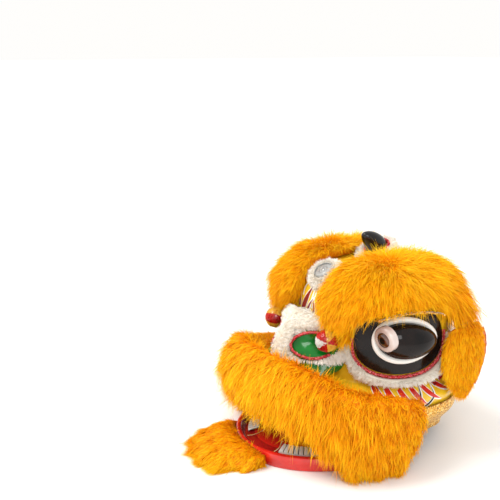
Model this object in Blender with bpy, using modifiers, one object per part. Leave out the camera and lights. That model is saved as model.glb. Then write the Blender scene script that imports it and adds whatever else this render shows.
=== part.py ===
import math

import bmesh
import bpy
import numpy as np
from mathutils import Matrix, Vector
from mathutils.bvhtree import BVHTree

# Lion dance costume head. Metres, Z up, face towards -Y, left side of the lion at +X.

# Skull: a superellipse in plan that narrows upwards to a flat crown and swells forward below into the snout
SKULL_HALF_WIDTH = 0.205
SKULL_MID_Y = 0.070
SKULL_FRONT_REACH = 0.185
SKULL_BACK_REACH = 0.190
SHOULDER_Z = 0.170
DOME_RISE = 0.255
PLAN_POWER = 2.3
DOME_POWER = 4.0
SNOUT_TOP_Z = 0.188
SNOUT_FULL_Z = 0.150
SNOUT_REACH = 0.125
SNOUT_WIDENING = 0.034
CORE_Z = 0.260
SHELL_WALL = 0.003
SHELL_EDGE_FRONT_Z = 0.142
SHELL_EDGE_REAR_Z = 0.122
SHELL_COLUMNS = 34
SHELL_LOW_HEIGHTS = (0.0, 0.151, 0.159, 0.168, 0.178, 0.189)
SHELL_DOME_SHARES = (0.220, 0.392, 0.565, 0.737, 0.863, 0.945, 0.986)

# Clear distance between neighbouring pieces, and the larger one that faceted curved faces need
GAP = 0.0004
SEAT = 0.0024
STACK = 0.0014

# Brings the middle of the whole depth over the origin
SLIDE_Y = 0.0677

# Fur
BROW_DEPTH = 0.038
BROW_EDGE_DEPTH = 0.020
BROW_FRONT_SWELL = 0.26
LIP_DEPTH = 0.050
LIP_WALL_Z = 0.149
LOCK_RELIEF = 0.010
LOCK_ACROSS = 3
LOCK_ALONG = 3

# Eye, laid out on the skull by an angle round it and a height
EYE_TURN = math.radians(74.0)
EYE_Z = 0.282
EYE_ARC = 0.205
PLATE_FRONT = 0.120
PLATE_REAR = 0.104
PLATE_HALF_HEIGHT = 0.073
PLATE_DEPTH = 0.004
RING_HALF_LENGTH = 0.081
RING_HALF_HEIGHT = 0.052
RING_RAISE = 0.005
RING_WIDTH = 0.012
RING_DEPTH = 0.004
BULB_DEPTH = 0.040
EYE_COLUMNS = 22
CUP_RADIUS = 0.029
CUP_TOP_RADIUS = 0.024
CUP_HEIGHT = 0.017
CUP_TURN = math.radians(6.0)
CUP_DROP = math.radians(8.0)
IRIS_RADIUS = 0.0165
TRIM_RADIUS = 0.0034
EYE_FUR_WIDTH = 0.022
EYE_FUR_DEPTH = 0.014
LID_RADIUS = 0.071
LID_AXIS_OUT = 0.020
LID_HALF_LENGTH = 0.082
LID_WALL = 0.002
LID_START = math.radians(83.0)
LID_END = math.radians(108.0)

# Nose and the balls beside it
NOSE_HALF_WIDTH = 0.112
NOSE_Z = 0.256
NOSE_HALF_HEIGHT = 0.068
NOSE_DEPTH = 0.078
NOSE_LOBE_DEPTH = 0.040
NOSE_LOBE_X = 0.080
NOSE_LOBE_Z = 0.208
NOSE_FUR_STAND = 0.0070
NOSTRIL_DENT = 0.032
NOSTRIL_X = 0.064
NOSTRIL_Z = 0.266
NOSTRIL_HALF_WIDTH = 0.036
NOSTRIL_HALF_HEIGHT = 0.026
BALL_X = 0.067
BALL_Z = 0.280
BALL_RADIUS = 0.025
BALL_STAND_OFF = 0.018
BALL_OUT = (0.80, -0.58, 0.12)
COLLAR_RADIUS = 0.008
COLLAR_SEAT = 0.013

# Crown pieces
HORN_Y = 0.094
HORN_RADIUS = 0.028
HORN_HEIGHT = 0.052
HORN_TILT = math.radians(30.0)
HORN_STAND = 0.022
HORN_CURL = 0.30
HORN_FUR_RADIUS = 0.049
KNOB_Y = 0.182
KNOB_RADIUS = 0.012
MIRROR_RADIUS = 0.0205
MIRROR_Z = SHOULDER_Z + 0.9216 * DOME_RISE
MIRROR_FUR_RADIUS = 0.042
MIRROR_FUR_DEPTH = 0.018

# Lower jaw
BOARD_HALF_WIDTH = 0.198
BOARD_MID_Y = -0.030
BOARD_FRONT_REACH = 0.256
BOARD_RIM_Z = 0.034
BOARD_FLOOR_Z = 0.020
BOARD_FLOOR_INSET = 0.020
BOARD_MOUND_Z = 0.034
BOARD_MOUND_SHARE = 0.35
BOARD_CENTRE_Y = BOARD_MID_Y - 0.09
BOARD_WALL = 0.006
TEETH_SHARES = (0.05, 0.14, 0.23)
BOARD_RIM_WIDTH = 0.011
BOARD_BACK_Y = 0.000
HINGE_Y = 0.100
HINGE_Z = 0.142
ARM_X = 0.166
ARM_THICK = 0.008
PIN_RADIUS = 0.004
PIN_CLEAR = 0.0004
PIN_BOSS_RADIUS = 0.011

# Ear
EAR_HINGE = (0.216, 0.172, 0.302)
EAR_ROD_RADIUS = 0.0055
EAR_ROD_LENGTH = 0.026
EAR_STEM_DROP = 0.040
EAR_LENGTH = 0.165
EAR_HALF_WIDTH = 0.078
EAR_FUR = 0.016
EAR_FLARE = math.radians(12.0)
EAR_TURN = math.radians(7.0)

# Brocade skirt
CLOTH_WALL = 0.002
CLOTH_TOP_Z = 0.134
CLOTH_BOTTOM_Z = 0.056
CLOTH_TUCK = 0.034

COLORS = {
    "fur": (0.95, 0.42, 0.01),
    "white_fur": (0.86, 0.82, 0.74),
    "lacquer_yellow": (0.85, 0.52, 0.03),
    "gold_cloth": (0.72, 0.38, 0.06),
    "black": (0.02, 0.015, 0.015),
    "white": (0.85, 0.83, 0.78),
    "red": (0.70, 0.03, 0.02),
    "red_braid": (0.62, 0.02, 0.03),
    "green": (0.02, 0.32, 0.08),
    "iris": (0.10, 0.035, 0.02),
    "cup": (0.55, 0.45, 0.42),
    "mirror": (0.60, 0.60, 0.58),
    "metal": (0.55, 0.55, 0.53),
    "wood": (0.45, 0.25, 0.10),
}


def clear_scene():
    for old in list(bpy.data.objects):
        bpy.data.objects.remove(old, do_unlink=True)


def collection(name):
    made = bpy.data.collections.new(name)
    bpy.context.scene.collection.children.link(made)
    return made


def material(name, color):
    made = bpy.data.materials.new(name)
    made.use_nodes = True
    shader = made.node_tree.nodes["Principled BSDF"]
    shader.inputs["Base Color"].default_value = (*color, 1.0)
    made.diffuse_color = (*color, 1.0)
    return made


def add_object(name, data, color, group):
    made = bpy.data.objects.new(name, data)
    data.materials.append(material(name, COLORS[color]))
    group.objects.link(made)
    return made


def add_mesh(name, points, faces, color, group):
    """A mesh object with its normals turned outwards."""
    data = bpy.data.meshes.new(name)
    data.from_pydata([tuple(float(v) for v in p) for p in points], [], faces)
    work = bmesh.new()
    work.from_mesh(data)
    bmesh.ops.recalc_face_normals(work, faces=work.faces)
    work.to_mesh(data)
    work.free()
    return add_object(name, data, color, group)


def mirrored(points, side):
    """The points for one side: the left ones as they are, the right ones with X turned over."""
    return [(p[0] * side, p[1], p[2]) for p in points]


def unit(v):
    return np.array(v) / np.linalg.norm(v)


def smooth(share):
    held = min(1.0, max(0.0, share))
    return held * held * (3.0 - 2.0 * held)


# Skull surface
def snout_share(z):
    return smooth((SNOUT_TOP_Z - z) / (SNOUT_TOP_Z - SNOUT_FULL_Z))


def plan_radius(turn, z):
    """Distance from the skull's middle line to its wall below the dome, turn 0 at the face and growing to the left."""
    swell = snout_share(z) * (0.5 + 0.5 * smooth(0.5 + math.cos(turn)))
    across = SKULL_HALF_WIDTH + SNOUT_WIDENING * snout_share(z) * smooth(1.1 + math.cos(turn))
    reach = SKULL_FRONT_REACH + SNOUT_REACH * swell if math.cos(turn) > 0.0 else SKULL_BACK_REACH
    side = (abs(math.sin(turn)) / across) ** PLAN_POWER
    fore = (abs(math.cos(turn)) / reach) ** PLAN_POWER
    return (side + fore) ** (-1.0 / PLAN_POWER)


def dome_share(z):
    rise = max(0.0, (z - SHOULDER_Z) / DOME_RISE)
    return max(0.0, 1.0 - rise**DOME_POWER) ** (1.0 / DOME_POWER)


def skull(turn, z):
    out = plan_radius(turn, z) * dome_share(z)
    return np.array((out * math.sin(turn), SKULL_MID_Y - out * math.cos(turn), z))


def inside(point):
    """Share of the way out from the skull's middle line at this height, above 1 outside."""
    x, y, z = point[0], point[1] - SKULL_MID_Y, point[2]
    reach = math.hypot(x, y)
    top = dome_share(z)
    if top < 1e-6:
        return 9.0
    return reach / (plan_radius(math.atan2(x, -y), z) * top)


def shoot(origin, direction):
    """The point where a ray from inside the skull leaves it."""
    start, way = np.array(origin), unit(direction)
    near, far = 0.0, 0.6
    for _ in range(40):
        middle = 0.5 * (near + far)
        if inside(start + way * middle) < 1.0:
            near = middle
        else:
            far = middle
    return start + way * near


def normal_at(point):
    """Outward direction of the skull at a point on it."""
    core = np.array((0.0, SKULL_MID_Y, CORE_Z))
    way = unit(point - core)
    aside = unit(np.cross(way, (0.0, 0.13, 1.0)))
    up = np.cross(aside, way)
    step = 0.02
    east = shoot(core, way + aside * step) - shoot(core, way - aside * step)
    north = shoot(core, way + up * step) - shoot(core, way - up * step)
    found = unit(np.cross(east, north))
    return found if found @ way > 0.0 else -found


def onto_skull(point):
    """The skull's surface below or above a rough point, seen from the skull's core."""
    core = np.array((0.0, SKULL_MID_Y, CORE_Z))
    return shoot(core, np.array(point) - core)


def crown_at(x, y):
    return shoot((x, y, CORE_Z), (0.0, 0.0, 1.0))


# Solids
def grid_faces(rows, columns, first, closed=False):
    wrap = columns if closed else columns - 1
    return [
        (first + r * columns + c, first + r * columns + (c + 1) % columns,
         first + (r + 1) * columns + (c + 1) % columns, first + (r + 1) * columns + c)
        for r in range(rows - 1) for c in range(wrap)
    ]


def pad(name, low, high, color, group, side=1):
    """A closed pad between two grids of points with the same rows and columns."""
    rows, columns = len(low), len(low[0])
    points = [p for row in low for p in row] + [p for row in high for p in row]
    top = rows * columns
    faces = grid_faces(rows, columns, 0) + grid_faces(rows, columns, top)
    edge = [c for c in range(columns)]
    edge += [r * columns + columns - 1 for r in range(1, rows)]
    edge += [(rows - 1) * columns + c for c in range(columns - 2, -1, -1)]
    edge += [r * columns for r in range(rows - 2, 0, -1)]
    faces += [(a, b, b + top, a + top) for a, b in zip(edge, edge[1:] + edge[:1])]
    return add_mesh(name, mirrored(points, side), faces, color, group)


def mound(name, under, over, under_rings, over_rings, color, group, side=1, columns=22):
    """A closed mound: under and over give a point for a share of the radius and an angle, and meet at share 1."""
    angles = [2.0 * math.pi * c / columns for c in range(columns)]
    points, faces = [], []
    for surface, rings in ((under, under_rings), (over, over_rings)):
        first = len(points)
        points.append(surface(0.0, 0.0))
        for share in rings:
            points += [surface(share, a) for a in angles]
        faces += [(first, first + 1 + c, first + 1 + (c + 1) % columns) for c in range(columns)]
        faces += grid_faces(len(rings), columns, first + 1, closed=True)
    low = 1 + (len(under_rings) - 1) * columns
    high = len(points) - columns
    faces += [(low + c, low + (c + 1) % columns, high + (c + 1) % columns, high + c) for c in range(columns)]
    return add_mesh(name, mirrored(points, side), faces, color, group)


def loft(name, sections, color, group, side=1, closed=False):
    """A closed solid through sections with the same count of points, capped at both ends or joined into a ring."""
    count = len(sections[0])
    points = [p for section in sections for p in section]
    faces = grid_faces(len(sections), count, 0, closed=True)
    if closed:
        last = (len(sections) - 1) * count
        faces += [(last + c, last + (c + 1) % count, (c + 1) % count, c) for c in range(count)]
    else:
        faces += [tuple(range(count)), tuple(range(len(points) - count, len(points)))]
    return add_mesh(name, mirrored(points, side), faces, color, group)


def piping(name, path, radius, color, group, side=1):
    """A cord along a path: a curve with a bevel and caps."""
    data = bpy.data.curves.new(name, "CURVE")
    data.dimensions = "3D"
    line = data.splines.new("POLY")
    line.points.add(len(path) - 1)
    for spot, p in zip(line.points, mirrored(path, side)):
        spot.co = (*p, 1.0)
    data.bevel_depth = radius
    data.bevel_resolution = 0
    data.use_fill_caps = True
    return add_object(name, data, color, group)


def turned(name, profile, origin, axis, color, group, steps=20):
    """A solid turned about an axis from a profile of (radius, height) pairs that starts and ends on the axis."""
    way = unit(axis)
    aside = unit(np.cross(way, (0.0, 1.0, 0.0) if abs(way[1]) < 0.9 else (1.0, 0.0, 0.0)))
    across = np.cross(way, aside)
    base = np.array(origin)
    points, rings, ends = [], [], []
    for radius, height in profile:
        centre = base + way * height
        if radius == 0.0:
            ends.append(len(points))
            points.append(centre)
            continue
        rings.append(len(points))
        for k in range(steps):
            angle = 2.0 * math.pi * k / steps
            points.append(centre + (aside * math.cos(angle) + across * math.sin(angle)) * radius)
    faces = []
    for a, b in zip(rings, rings[1:]):
        faces += [(a + k, a + (k + 1) % steps, b + (k + 1) % steps, b + k) for k in range(steps)]
    faces += [(ends[0], rings[0] + k, rings[0] + (k + 1) % steps) for k in range(steps)]
    faces += [(ends[1], rings[-1] + k, rings[-1] + (k + 1) % steps) for k in range(steps)]
    return add_mesh(name, points, faces, color, group)


def subtract(target, cutter):
    cut = target.modifiers.new("seat", "BOOLEAN")
    cut.operation = "DIFFERENCE"
    cut.solver = "EXACT"
    cut.object = cutter


def set_origin(made, place):
    """Moves a mesh object's origin without moving its shape."""
    shift = Vector(place)
    for v in made.data.vertices:
        v.co -= shift
    made.location = shift


def surface(made):
    """The finished surface of an object as points in the scene and their faces."""
    bpy.context.view_layer.update()
    shown = made.evaluated_get(bpy.context.evaluated_depsgraph_get())
    mesh = shown.to_mesh()
    mesh.calc_loop_triangles()
    points = np.array([made.matrix_world @ v.co for v in mesh.vertices])
    faces = [tuple(t.vertices) for t in mesh.loop_triangles]
    shown.to_mesh_clear()
    return points, faces


def settle(names, carrier_name, direction, reach=0.012):
    """Slides pieces together along a direction until the first named lies GAP short of its carrier."""
    way = unit(direction)
    carrier = BVHTree.FromPolygons(*surface(bpy.data.objects[carrier_name]))
    points, faces = surface(bpy.data.objects[names[0]])
    near, far = 0.0, reach
    for _ in range(12):
        middle = 0.5 * (near + far)
        if BVHTree.FromPolygons(points + way * middle, faces).overlap(carrier):
            far = middle
        else:
            near = middle
    for name in names:
        bpy.data.objects[name].data.transform(Matrix.Translation(way * max(0.0, near - GAP)))


def lock(i, j):
    """Relief of pointed locks in shingled rows, from 0 between them to 1 at a tip."""
    row = j // LOCK_ALONG
    along = (j % LOCK_ALONG + 1) / LOCK_ALONG
    place = (i + row * 0.5 * LOCK_ACROSS) % LOCK_ACROSS / LOCK_ACROSS
    return along * (1.0 - abs(2.0 * place - 1.0))


def between(table, share, column):
    """A value from a table's named column at a share of the way along its rows."""
    places = np.linspace(0.0, 1.0, len(table))
    return np.array([np.interp(share, places, [row[column][k] for row in table]) for k in range(3)])


# Skull, cloth
def shell_edge(turn):
    off_front = abs(math.degrees(math.atan2(math.sin(turn), math.cos(turn))))
    return SHELL_EDGE_REAR_Z + (SHELL_EDGE_FRONT_Z - SHELL_EDGE_REAR_Z) * smooth((72.0 - off_front) / 25.0)


def build_shell(group):
    rows = []
    heights = SHELL_LOW_HEIGHTS + tuple(SHOULDER_Z + DOME_RISE * share for share in SHELL_DOME_SHARES)
    for height in heights:
        row = []
        for c in range(SHELL_COLUMNS):
            turn = 2.0 * math.pi * c / SHELL_COLUMNS
            row.append(skull(turn, max(height, shell_edge(turn))))
        rows.append(row)
    points = [p for row in rows for p in row]
    faces = grid_faces(len(rows), SHELL_COLUMNS, 0, closed=True)
    last = (len(rows) - 1) * SHELL_COLUMNS
    points.append(np.array((0.0, SKULL_MID_Y, SHOULDER_Z + DOME_RISE)))
    faces += [(last + c, last + (c + 1) % SHELL_COLUMNS, len(points) - 1) for c in range(SHELL_COLUMNS)]
    shell = add_mesh("head_shell", points, faces, "lacquer_yellow", group)
    wall = shell.modifiers.new("wall", "SOLIDIFY")
    wall.thickness = SHELL_WALL
    wall.offset = -1.0


def build_cloth(group):
    columns = 21
    start, end = math.radians(80.0), math.radians(280.0)
    low, high = [], []
    for z in (CLOTH_TOP_Z, SHELL_EDGE_REAR_Z - 0.004, 0.5 * (SHELL_EDGE_REAR_Z + CLOTH_BOTTOM_Z), CLOTH_BOTTOM_Z):
        tuck = CLOTH_TUCK * smooth((SHELL_EDGE_REAR_Z - 0.004 - z) / 0.060)
        inner, outer = [], []
        for c in range(columns):
            turn = start + (end - start) * c / (columns - 1)
            at = skull(turn, SHELL_EDGE_REAR_Z)
            out = unit((math.sin(turn), -math.cos(turn), 0.0))
            at = np.array((at[0], at[1], z)) + out * (SEAT + 0.0004 - tuck)
            inner.append(at)
            outer.append(at + out * CLOTH_WALL)
        low.append(inner)
        high.append(outer)
    pad("neck_cloth", low, high, "gold_cloth", group)


# Fur pads
BROW_EDGES = [
    {"eye_side": (0.124, -0.098, 0.290), "crown_side": (0.106, -0.112, 0.296)},
    {"eye_side": (0.129, -0.099, 0.326), "crown_side": (0.066, -0.125, 0.338)},
    {"eye_side": (0.160, -0.064, 0.362), "crown_side": (0.052, -0.110, 0.385)},
    {"eye_side": (0.190, 0.005, 0.370), "crown_side": (0.054, -0.030, 0.430)},
    {"eye_side": (0.195, 0.070, 0.368), "crown_side": (0.060, 0.060, 0.430)},
    {"eye_side": (0.193, 0.124, 0.360), "crown_side": (0.060, 0.130, 0.430)},
    {"eye_side": (0.190, 0.160, 0.330), "crown_side": (0.080, 0.210, 0.400)},
    {"eye_side": (0.187, 0.166, 0.316), "crown_side": (0.136, 0.222, 0.350)},
]


def build_brow(group, side, name):
    along, across = 20, 7
    low, high = [], []
    for i in range(along):
        share = i / (along - 1)
        eye = between(BROW_EDGES, share, "eye_side")
        crown = between(BROW_EDGES, share, "crown_side")
        ends = smooth(share / 0.30) * 0.68 + 0.32
        ends *= smooth((1.0 - share) / 0.20) * 0.30 + 0.70
        ends *= 1.0 + BROW_FRONT_SWELL * math.sin(2.0 * math.pi * min(1.0, share + 0.03))
        inner, outer = [], []
        for j in range(across):
            t = j / (across - 1)
            at = onto_skull(crown + (eye - crown) * t)
            out = normal_at(at)
            swell = math.sin(math.pi * (0.06 + 0.82 * t)) ** 0.7
            depth = BROW_EDGE_DEPTH * ends + (BROW_DEPTH - BROW_EDGE_DEPTH) * swell * ends
            relief = LOCK_RELIEF * lock(i, j) * (0.4 + 0.6 * ends)
            droop = np.array((0.0, 0.0, -0.010 * t * t * ends))
            inner.append(at + out * SEAT)
            outer.append(at + out * (depth + relief) + droop)
        low.append(inner)
        high.append(outer)
    pad(name, low, high, "fur", group, side)


LIP_TABLE = [
    {"turn": 0.0, "low": 0.120, "top": 0.163, "crest": 0.262},
    {"turn": 14.0, "low": 0.118, "top": 0.163, "crest": 0.260},
    {"turn": 26.0, "low": 0.098, "top": 0.164, "crest": 0.244},
    {"turn": 35.0, "low": 0.050, "top": 0.166, "crest": 0.222},
    {"turn": 43.0, "low": 0.0, "top": 0.168, "crest": 0.202},
    {"turn": 56.0, "low": 0.0, "top": 0.168, "crest": 0.188},
    {"turn": 65.0, "low": 0.0, "top": 0.164, "crest": 0.180},
    {"turn": 71.0, "low": 0.030, "top": 0.158, "crest": 0.168},
    {"turn": 77.0, "low": 0.076, "top": 0.150, "crest": 0.156},
]


def lip_value(turn, column):
    return float(np.interp(abs(math.degrees(turn)), [r["turn"] for r in LIP_TABLE], [r[column] for r in LIP_TABLE]))


def skull_out(turn, z, out):
    at = skull(turn, z)
    return at + normal_at(at) * out


def build_lip(group):
    steps = 45
    reach = math.radians(LIP_TABLE[-1]["turn"])
    sections = []
    for i in range(steps):
        turn = reach * (2.0 * i / (steps - 1) - 1.0)
        low, top, crest = (lip_value(turn, c) for c in ("low", "top", "crest"))
        edge = shell_edge(turn)
        wall = skull(turn, LIP_WALL_Z)
        out = normal_at(wall)
        out = unit((out[0], out[1], 0.0))
        tip = 1.0 if i % LOCK_ACROSS == 1 else 0.0
        full = LIP_DEPTH * (0.5 + 0.5 * smooth((reach - abs(turn)) / math.radians(14.0)))
        middle = 0.5 * (crest + max(low, 0.04))
        hang = low + (0.0 if tip else 0.010)

        def place(h, z):
            return np.array((wall[0], wall[1], z)) + out * h

        sections.append([
            skull_out(turn, top, SEAT + 0.0034),
            place(0.0090 - 0.0130 * smooth((crest - 0.165) / 0.020), top + (crest - top) * 0.45),
            place(0.010, crest - 0.006),
            place(full * 0.45, crest + 0.003 * tip),
            place(full * 0.82 + 0.006 * tip, crest - (crest - top) * 0.35),
            place(full + 0.009 * (1.0 - tip), middle),
            place(full * 0.92 + 0.008 * tip, middle * 0.50 + hang * 0.50),
            place(full * 0.72 + 0.005 * tip, hang),
            place(full * 0.34, hang),
            place(0.0125, hang + 0.016),
            place(0.0066, edge - 0.006),
            place(SEAT + 0.0030, edge + 0.001),
            skull_out(turn, 0.5 * (edge + top), SEAT + 0.0040),
        ])
    loft("lip_fur", sections, "fur", group)


# Eye
def eye_point(a, b, out=0.0):
    """A point on the skull a metres behind and b metres above the middle of the eye, moved out along the normal."""
    at = skull(EYE_TURN + a / EYE_ARC, EYE_Z + b)
    return at + normal_at(at) * out


def plate_edge(angle, spread=0.0):
    reach = (PLATE_REAR if math.cos(angle) > 0.0 else PLATE_FRONT) + spread
    height = PLATE_HALF_HEIGHT + spread
    power = 2.4
    size = ((abs(math.cos(angle)) / reach) ** power + (abs(math.sin(angle)) / height) ** power) ** (-1.0 / power)
    return size * math.cos(angle), size * math.sin(angle)


def ring_edge(angle, spread=0.0):
    """The white ring's outer edge: an egg with its blunt end in front and its narrow end behind and a little low."""
    narrow = 1.0 - 0.16 * math.cos(angle)
    a = (RING_HALF_LENGTH + spread) * math.cos(angle)
    b = RING_RAISE + (RING_HALF_HEIGHT + spread) * math.sin(angle) * narrow - 0.05 * a
    return a, b


def bulb_height(share):
    return BULB_DEPTH * math.sqrt(max(0.0, 1.0 - share**2.2))


def build_eye(group, cutters, side, word):
    plate_top = SEAT + PLATE_DEPTH

    def plate_under(share, angle):
        a, b = plate_edge(angle)
        return eye_point(a * share, b * share, SEAT)

    def plate_over(share, angle):
        a, b = plate_edge(angle)
        return eye_point(a * share, b * share, plate_top - 0.0012 * max(0.0, share - 0.7) / 0.3)

    mound(f"eye_plate_{word}", plate_under, plate_over, (0.4, 0.72, 1.0), (0.36, 0.70, 1.0), "black",
          group, side)

    ring_low, ring_high = plate_top + STACK, plate_top + STACK + RING_DEPTH
    sections = []
    for k in range(EYE_COLUMNS):
        angle = 2.0 * math.pi * k / EYE_COLUMNS
        outer, inner = ring_edge(angle), ring_edge(angle, -RING_WIDTH)
        middle = ring_edge(angle, -0.5 * RING_WIDTH)
        sections.append([
            eye_point(*outer, ring_low), eye_point(*middle, ring_high), eye_point(*inner, ring_low + 0.0012),
            eye_point(*inner, ring_low),
        ])
    loft(f"eye_ring_{word}", sections, "white", group, side, closed=True)

    def bulb_under(share, angle):
        a, b = ring_edge(angle, -RING_WIDTH - GAP)
        return eye_point(a * share, b * share, plate_top + STACK)

    def bulb_over(share, angle):
        a, b = ring_edge(angle, -RING_WIDTH - GAP)
        return eye_point(a * share - 0.006 * (1.0 - share), b * share, plate_top + STACK + 0.0015 + bulb_height(share))

    bulb = mound(f"eye_bulb_{word}", bulb_under, bulb_over, (0.5, 1.0), (0.3, 0.58, 0.84, 1.0), "black",
                 group, side)
    way = np.array((math.sin(CUP_TURN) * math.cos(CUP_DROP) * side, -math.cos(CUP_TURN) * math.cos(CUP_DROP),
                    -math.sin(CUP_DROP)))
    seat = eye_point(-0.050, 0.020, 0.034)
    seat = np.array((seat[0] * side, seat[1], seat[2]))
    cutter = turned(f"cup_seat_{word}", [(0.0, 0.0), (CUP_RADIUS + GAP, 0.0), (CUP_RADIUS + GAP, 0.09), (0.0, 0.09)],
                    seat, way, "black", cutters, 24)
    cutter.display_type = "WIRE"
    cutter.hide_render = True
    subtract(bulb, cutter)
    turned(f"pupil_cup_{word}",
           [(0.0, GAP), (CUP_RADIUS, GAP), (CUP_RADIUS, CUP_HEIGHT - 0.005), (CUP_TOP_RADIUS, CUP_HEIGHT - 0.001),
            (IRIS_RADIUS + GAP, CUP_HEIGHT), (IRIS_RADIUS + GAP, CUP_HEIGHT - 0.0025), (0.0, CUP_HEIGHT - 0.0025)],
           seat, way, "cup", group, 18)
    iris_low = CUP_HEIGHT - 0.0025 + GAP
    turned(f"iris_{word}",
           [(0.0, iris_low), (IRIS_RADIUS, iris_low), (IRIS_RADIUS, iris_low + 0.0025), (0.011, iris_low + 0.005),
            (0.0, iris_low + 0.0062)],
           seat, way, "iris", group, 18)

    path = []
    for k in range(19):
        angle = math.radians(176.0 + 190.0 * k / 18)
        path.append(eye_point(*plate_edge(angle, TRIM_RADIUS + 0.0011), SEAT + TRIM_RADIUS + 0.0010))
    piping(f"eye_trim_{word}", path, TRIM_RADIUS, "red_braid", group, side)

    low, high = [], []
    for i in range(16):
        share = i / 15
        angle = math.radians(182.0 + 178.0 * share)
        ends = smooth(share / 0.25) * smooth((1.0 - share) / 0.2)
        inner, outer = [], []
        for j in range(4):
            spread = 2.0 * TRIM_RADIUS + 0.0026 + (0.010 + (EYE_FUR_WIDTH - 0.010) * ends) * j / 3
            a, b = plate_edge(angle, spread)
            swell = math.sin(math.pi * (0.25 + 0.62 * j / 3))
            relief = 0.003 * lock(i, j)
            inner.append(eye_point(a, b, SEAT + 0.0010))
            outer.append(eye_point(a, b, SEAT + 0.003 + (EYE_FUR_DEPTH * ends + 0.004) * swell + relief))
        low.append(inner)
        high.append(outer)
    pad(f"eye_fur_{word}", low, high, "white_fur", group, side)

    out = normal_at(eye_point(0.0, 0.0))
    rear = unit(np.cross((0.0, 0.0, 1.0), out))
    up = np.cross(out, rear)
    axis = eye_point(0.0, 0.0, LID_AXIS_OUT)
    low, high = [], []
    for i in range(13):
        a = LID_HALF_LENGTH * (2.0 * i / 12 - 1.0)
        radius = LID_RADIUS * math.sqrt(1.0 - (a / 0.150) ** 2)
        scallop = math.radians(3.0) * (i % 2)
        inner, outer = [], []
        for j in range(3):
            angle = LID_START + scallop * (1.0 - j / 2) + (LID_END - LID_START) * j / 2
            way_out = out * math.cos(angle) + up * math.sin(angle)
            inner.append(axis + rear * a + way_out * radius)
            outer.append(axis + rear * a + way_out * (radius + LID_WALL))
        low.append(inner)
        high.append(outer)
    lid = pad(f"eyelid_{word}", low, high, "gold_cloth", group, side)
    set_origin(lid, (axis[0] * side, axis[1], axis[2]))


# Nose
def nose_seat(x, z):
    return shoot((x, SKULL_MID_Y, z), (0.0, -1.0, 0.0))


def nose_size(x, rise):
    """Share of the way from the nose's middle to its outline, which is squarer below than above."""
    power = 3.5 if rise < 0.0 else 2.0
    return ((abs(x) / NOSE_HALF_WIDTH) ** power + (abs(rise) / NOSE_HALF_HEIGHT) ** power) ** (1.0 / power)


def nose_top(x, z, out=0.0):
    """A point on the nose's skin at a width and height on the skull behind it, moved out along the skull's normal."""
    at = nose_seat(x, z)
    share = nose_size(x, z - NOSE_Z)
    climb = min(1.0, max(0.0, (z - NOSE_Z + NOSE_HALF_HEIGHT) / (2.0 * NOSE_HALF_HEIGHT)))
    ridge = max(0.0, 1.0 - (abs(x) / NOSE_HALF_WIDTH) ** 1.4)
    body = NOSE_DEPTH * ridge * max(0.0, math.sin(math.pi * climb**0.7)) ** 0.6
    hold = min(1.0, max(0.0, (1.0 - share) / 0.14))
    lobe = math.exp(-(((abs(x) - NOSE_LOBE_X) / 0.026) ** 2) - ((z - NOSE_LOBE_Z) / 0.020) ** 2)
    lobe *= NOSE_LOBE_DEPTH * hold
    dent = NOSTRIL_DENT * hold * math.exp(-(((abs(x) - 0.068) / 0.026) ** 2) - ((z - 0.272) / 0.018) ** 2)
    skin = at + normal_at(at) * (SEAT + 0.004 + body + lobe - dent + out)
    return skin - np.array((0.0, 0.0, 0.4 * lobe))


def off_nose(x, z, out):
    """A point moved out from the nose's skin along the skin's own normal."""
    step = 0.004
    east = nose_top(x + step, z) - nose_top(x - step, z)
    north = nose_top(x, z + step) - nose_top(x, z - step)
    return nose_top(x, z) + unit(np.cross(east, north)) * out


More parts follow.
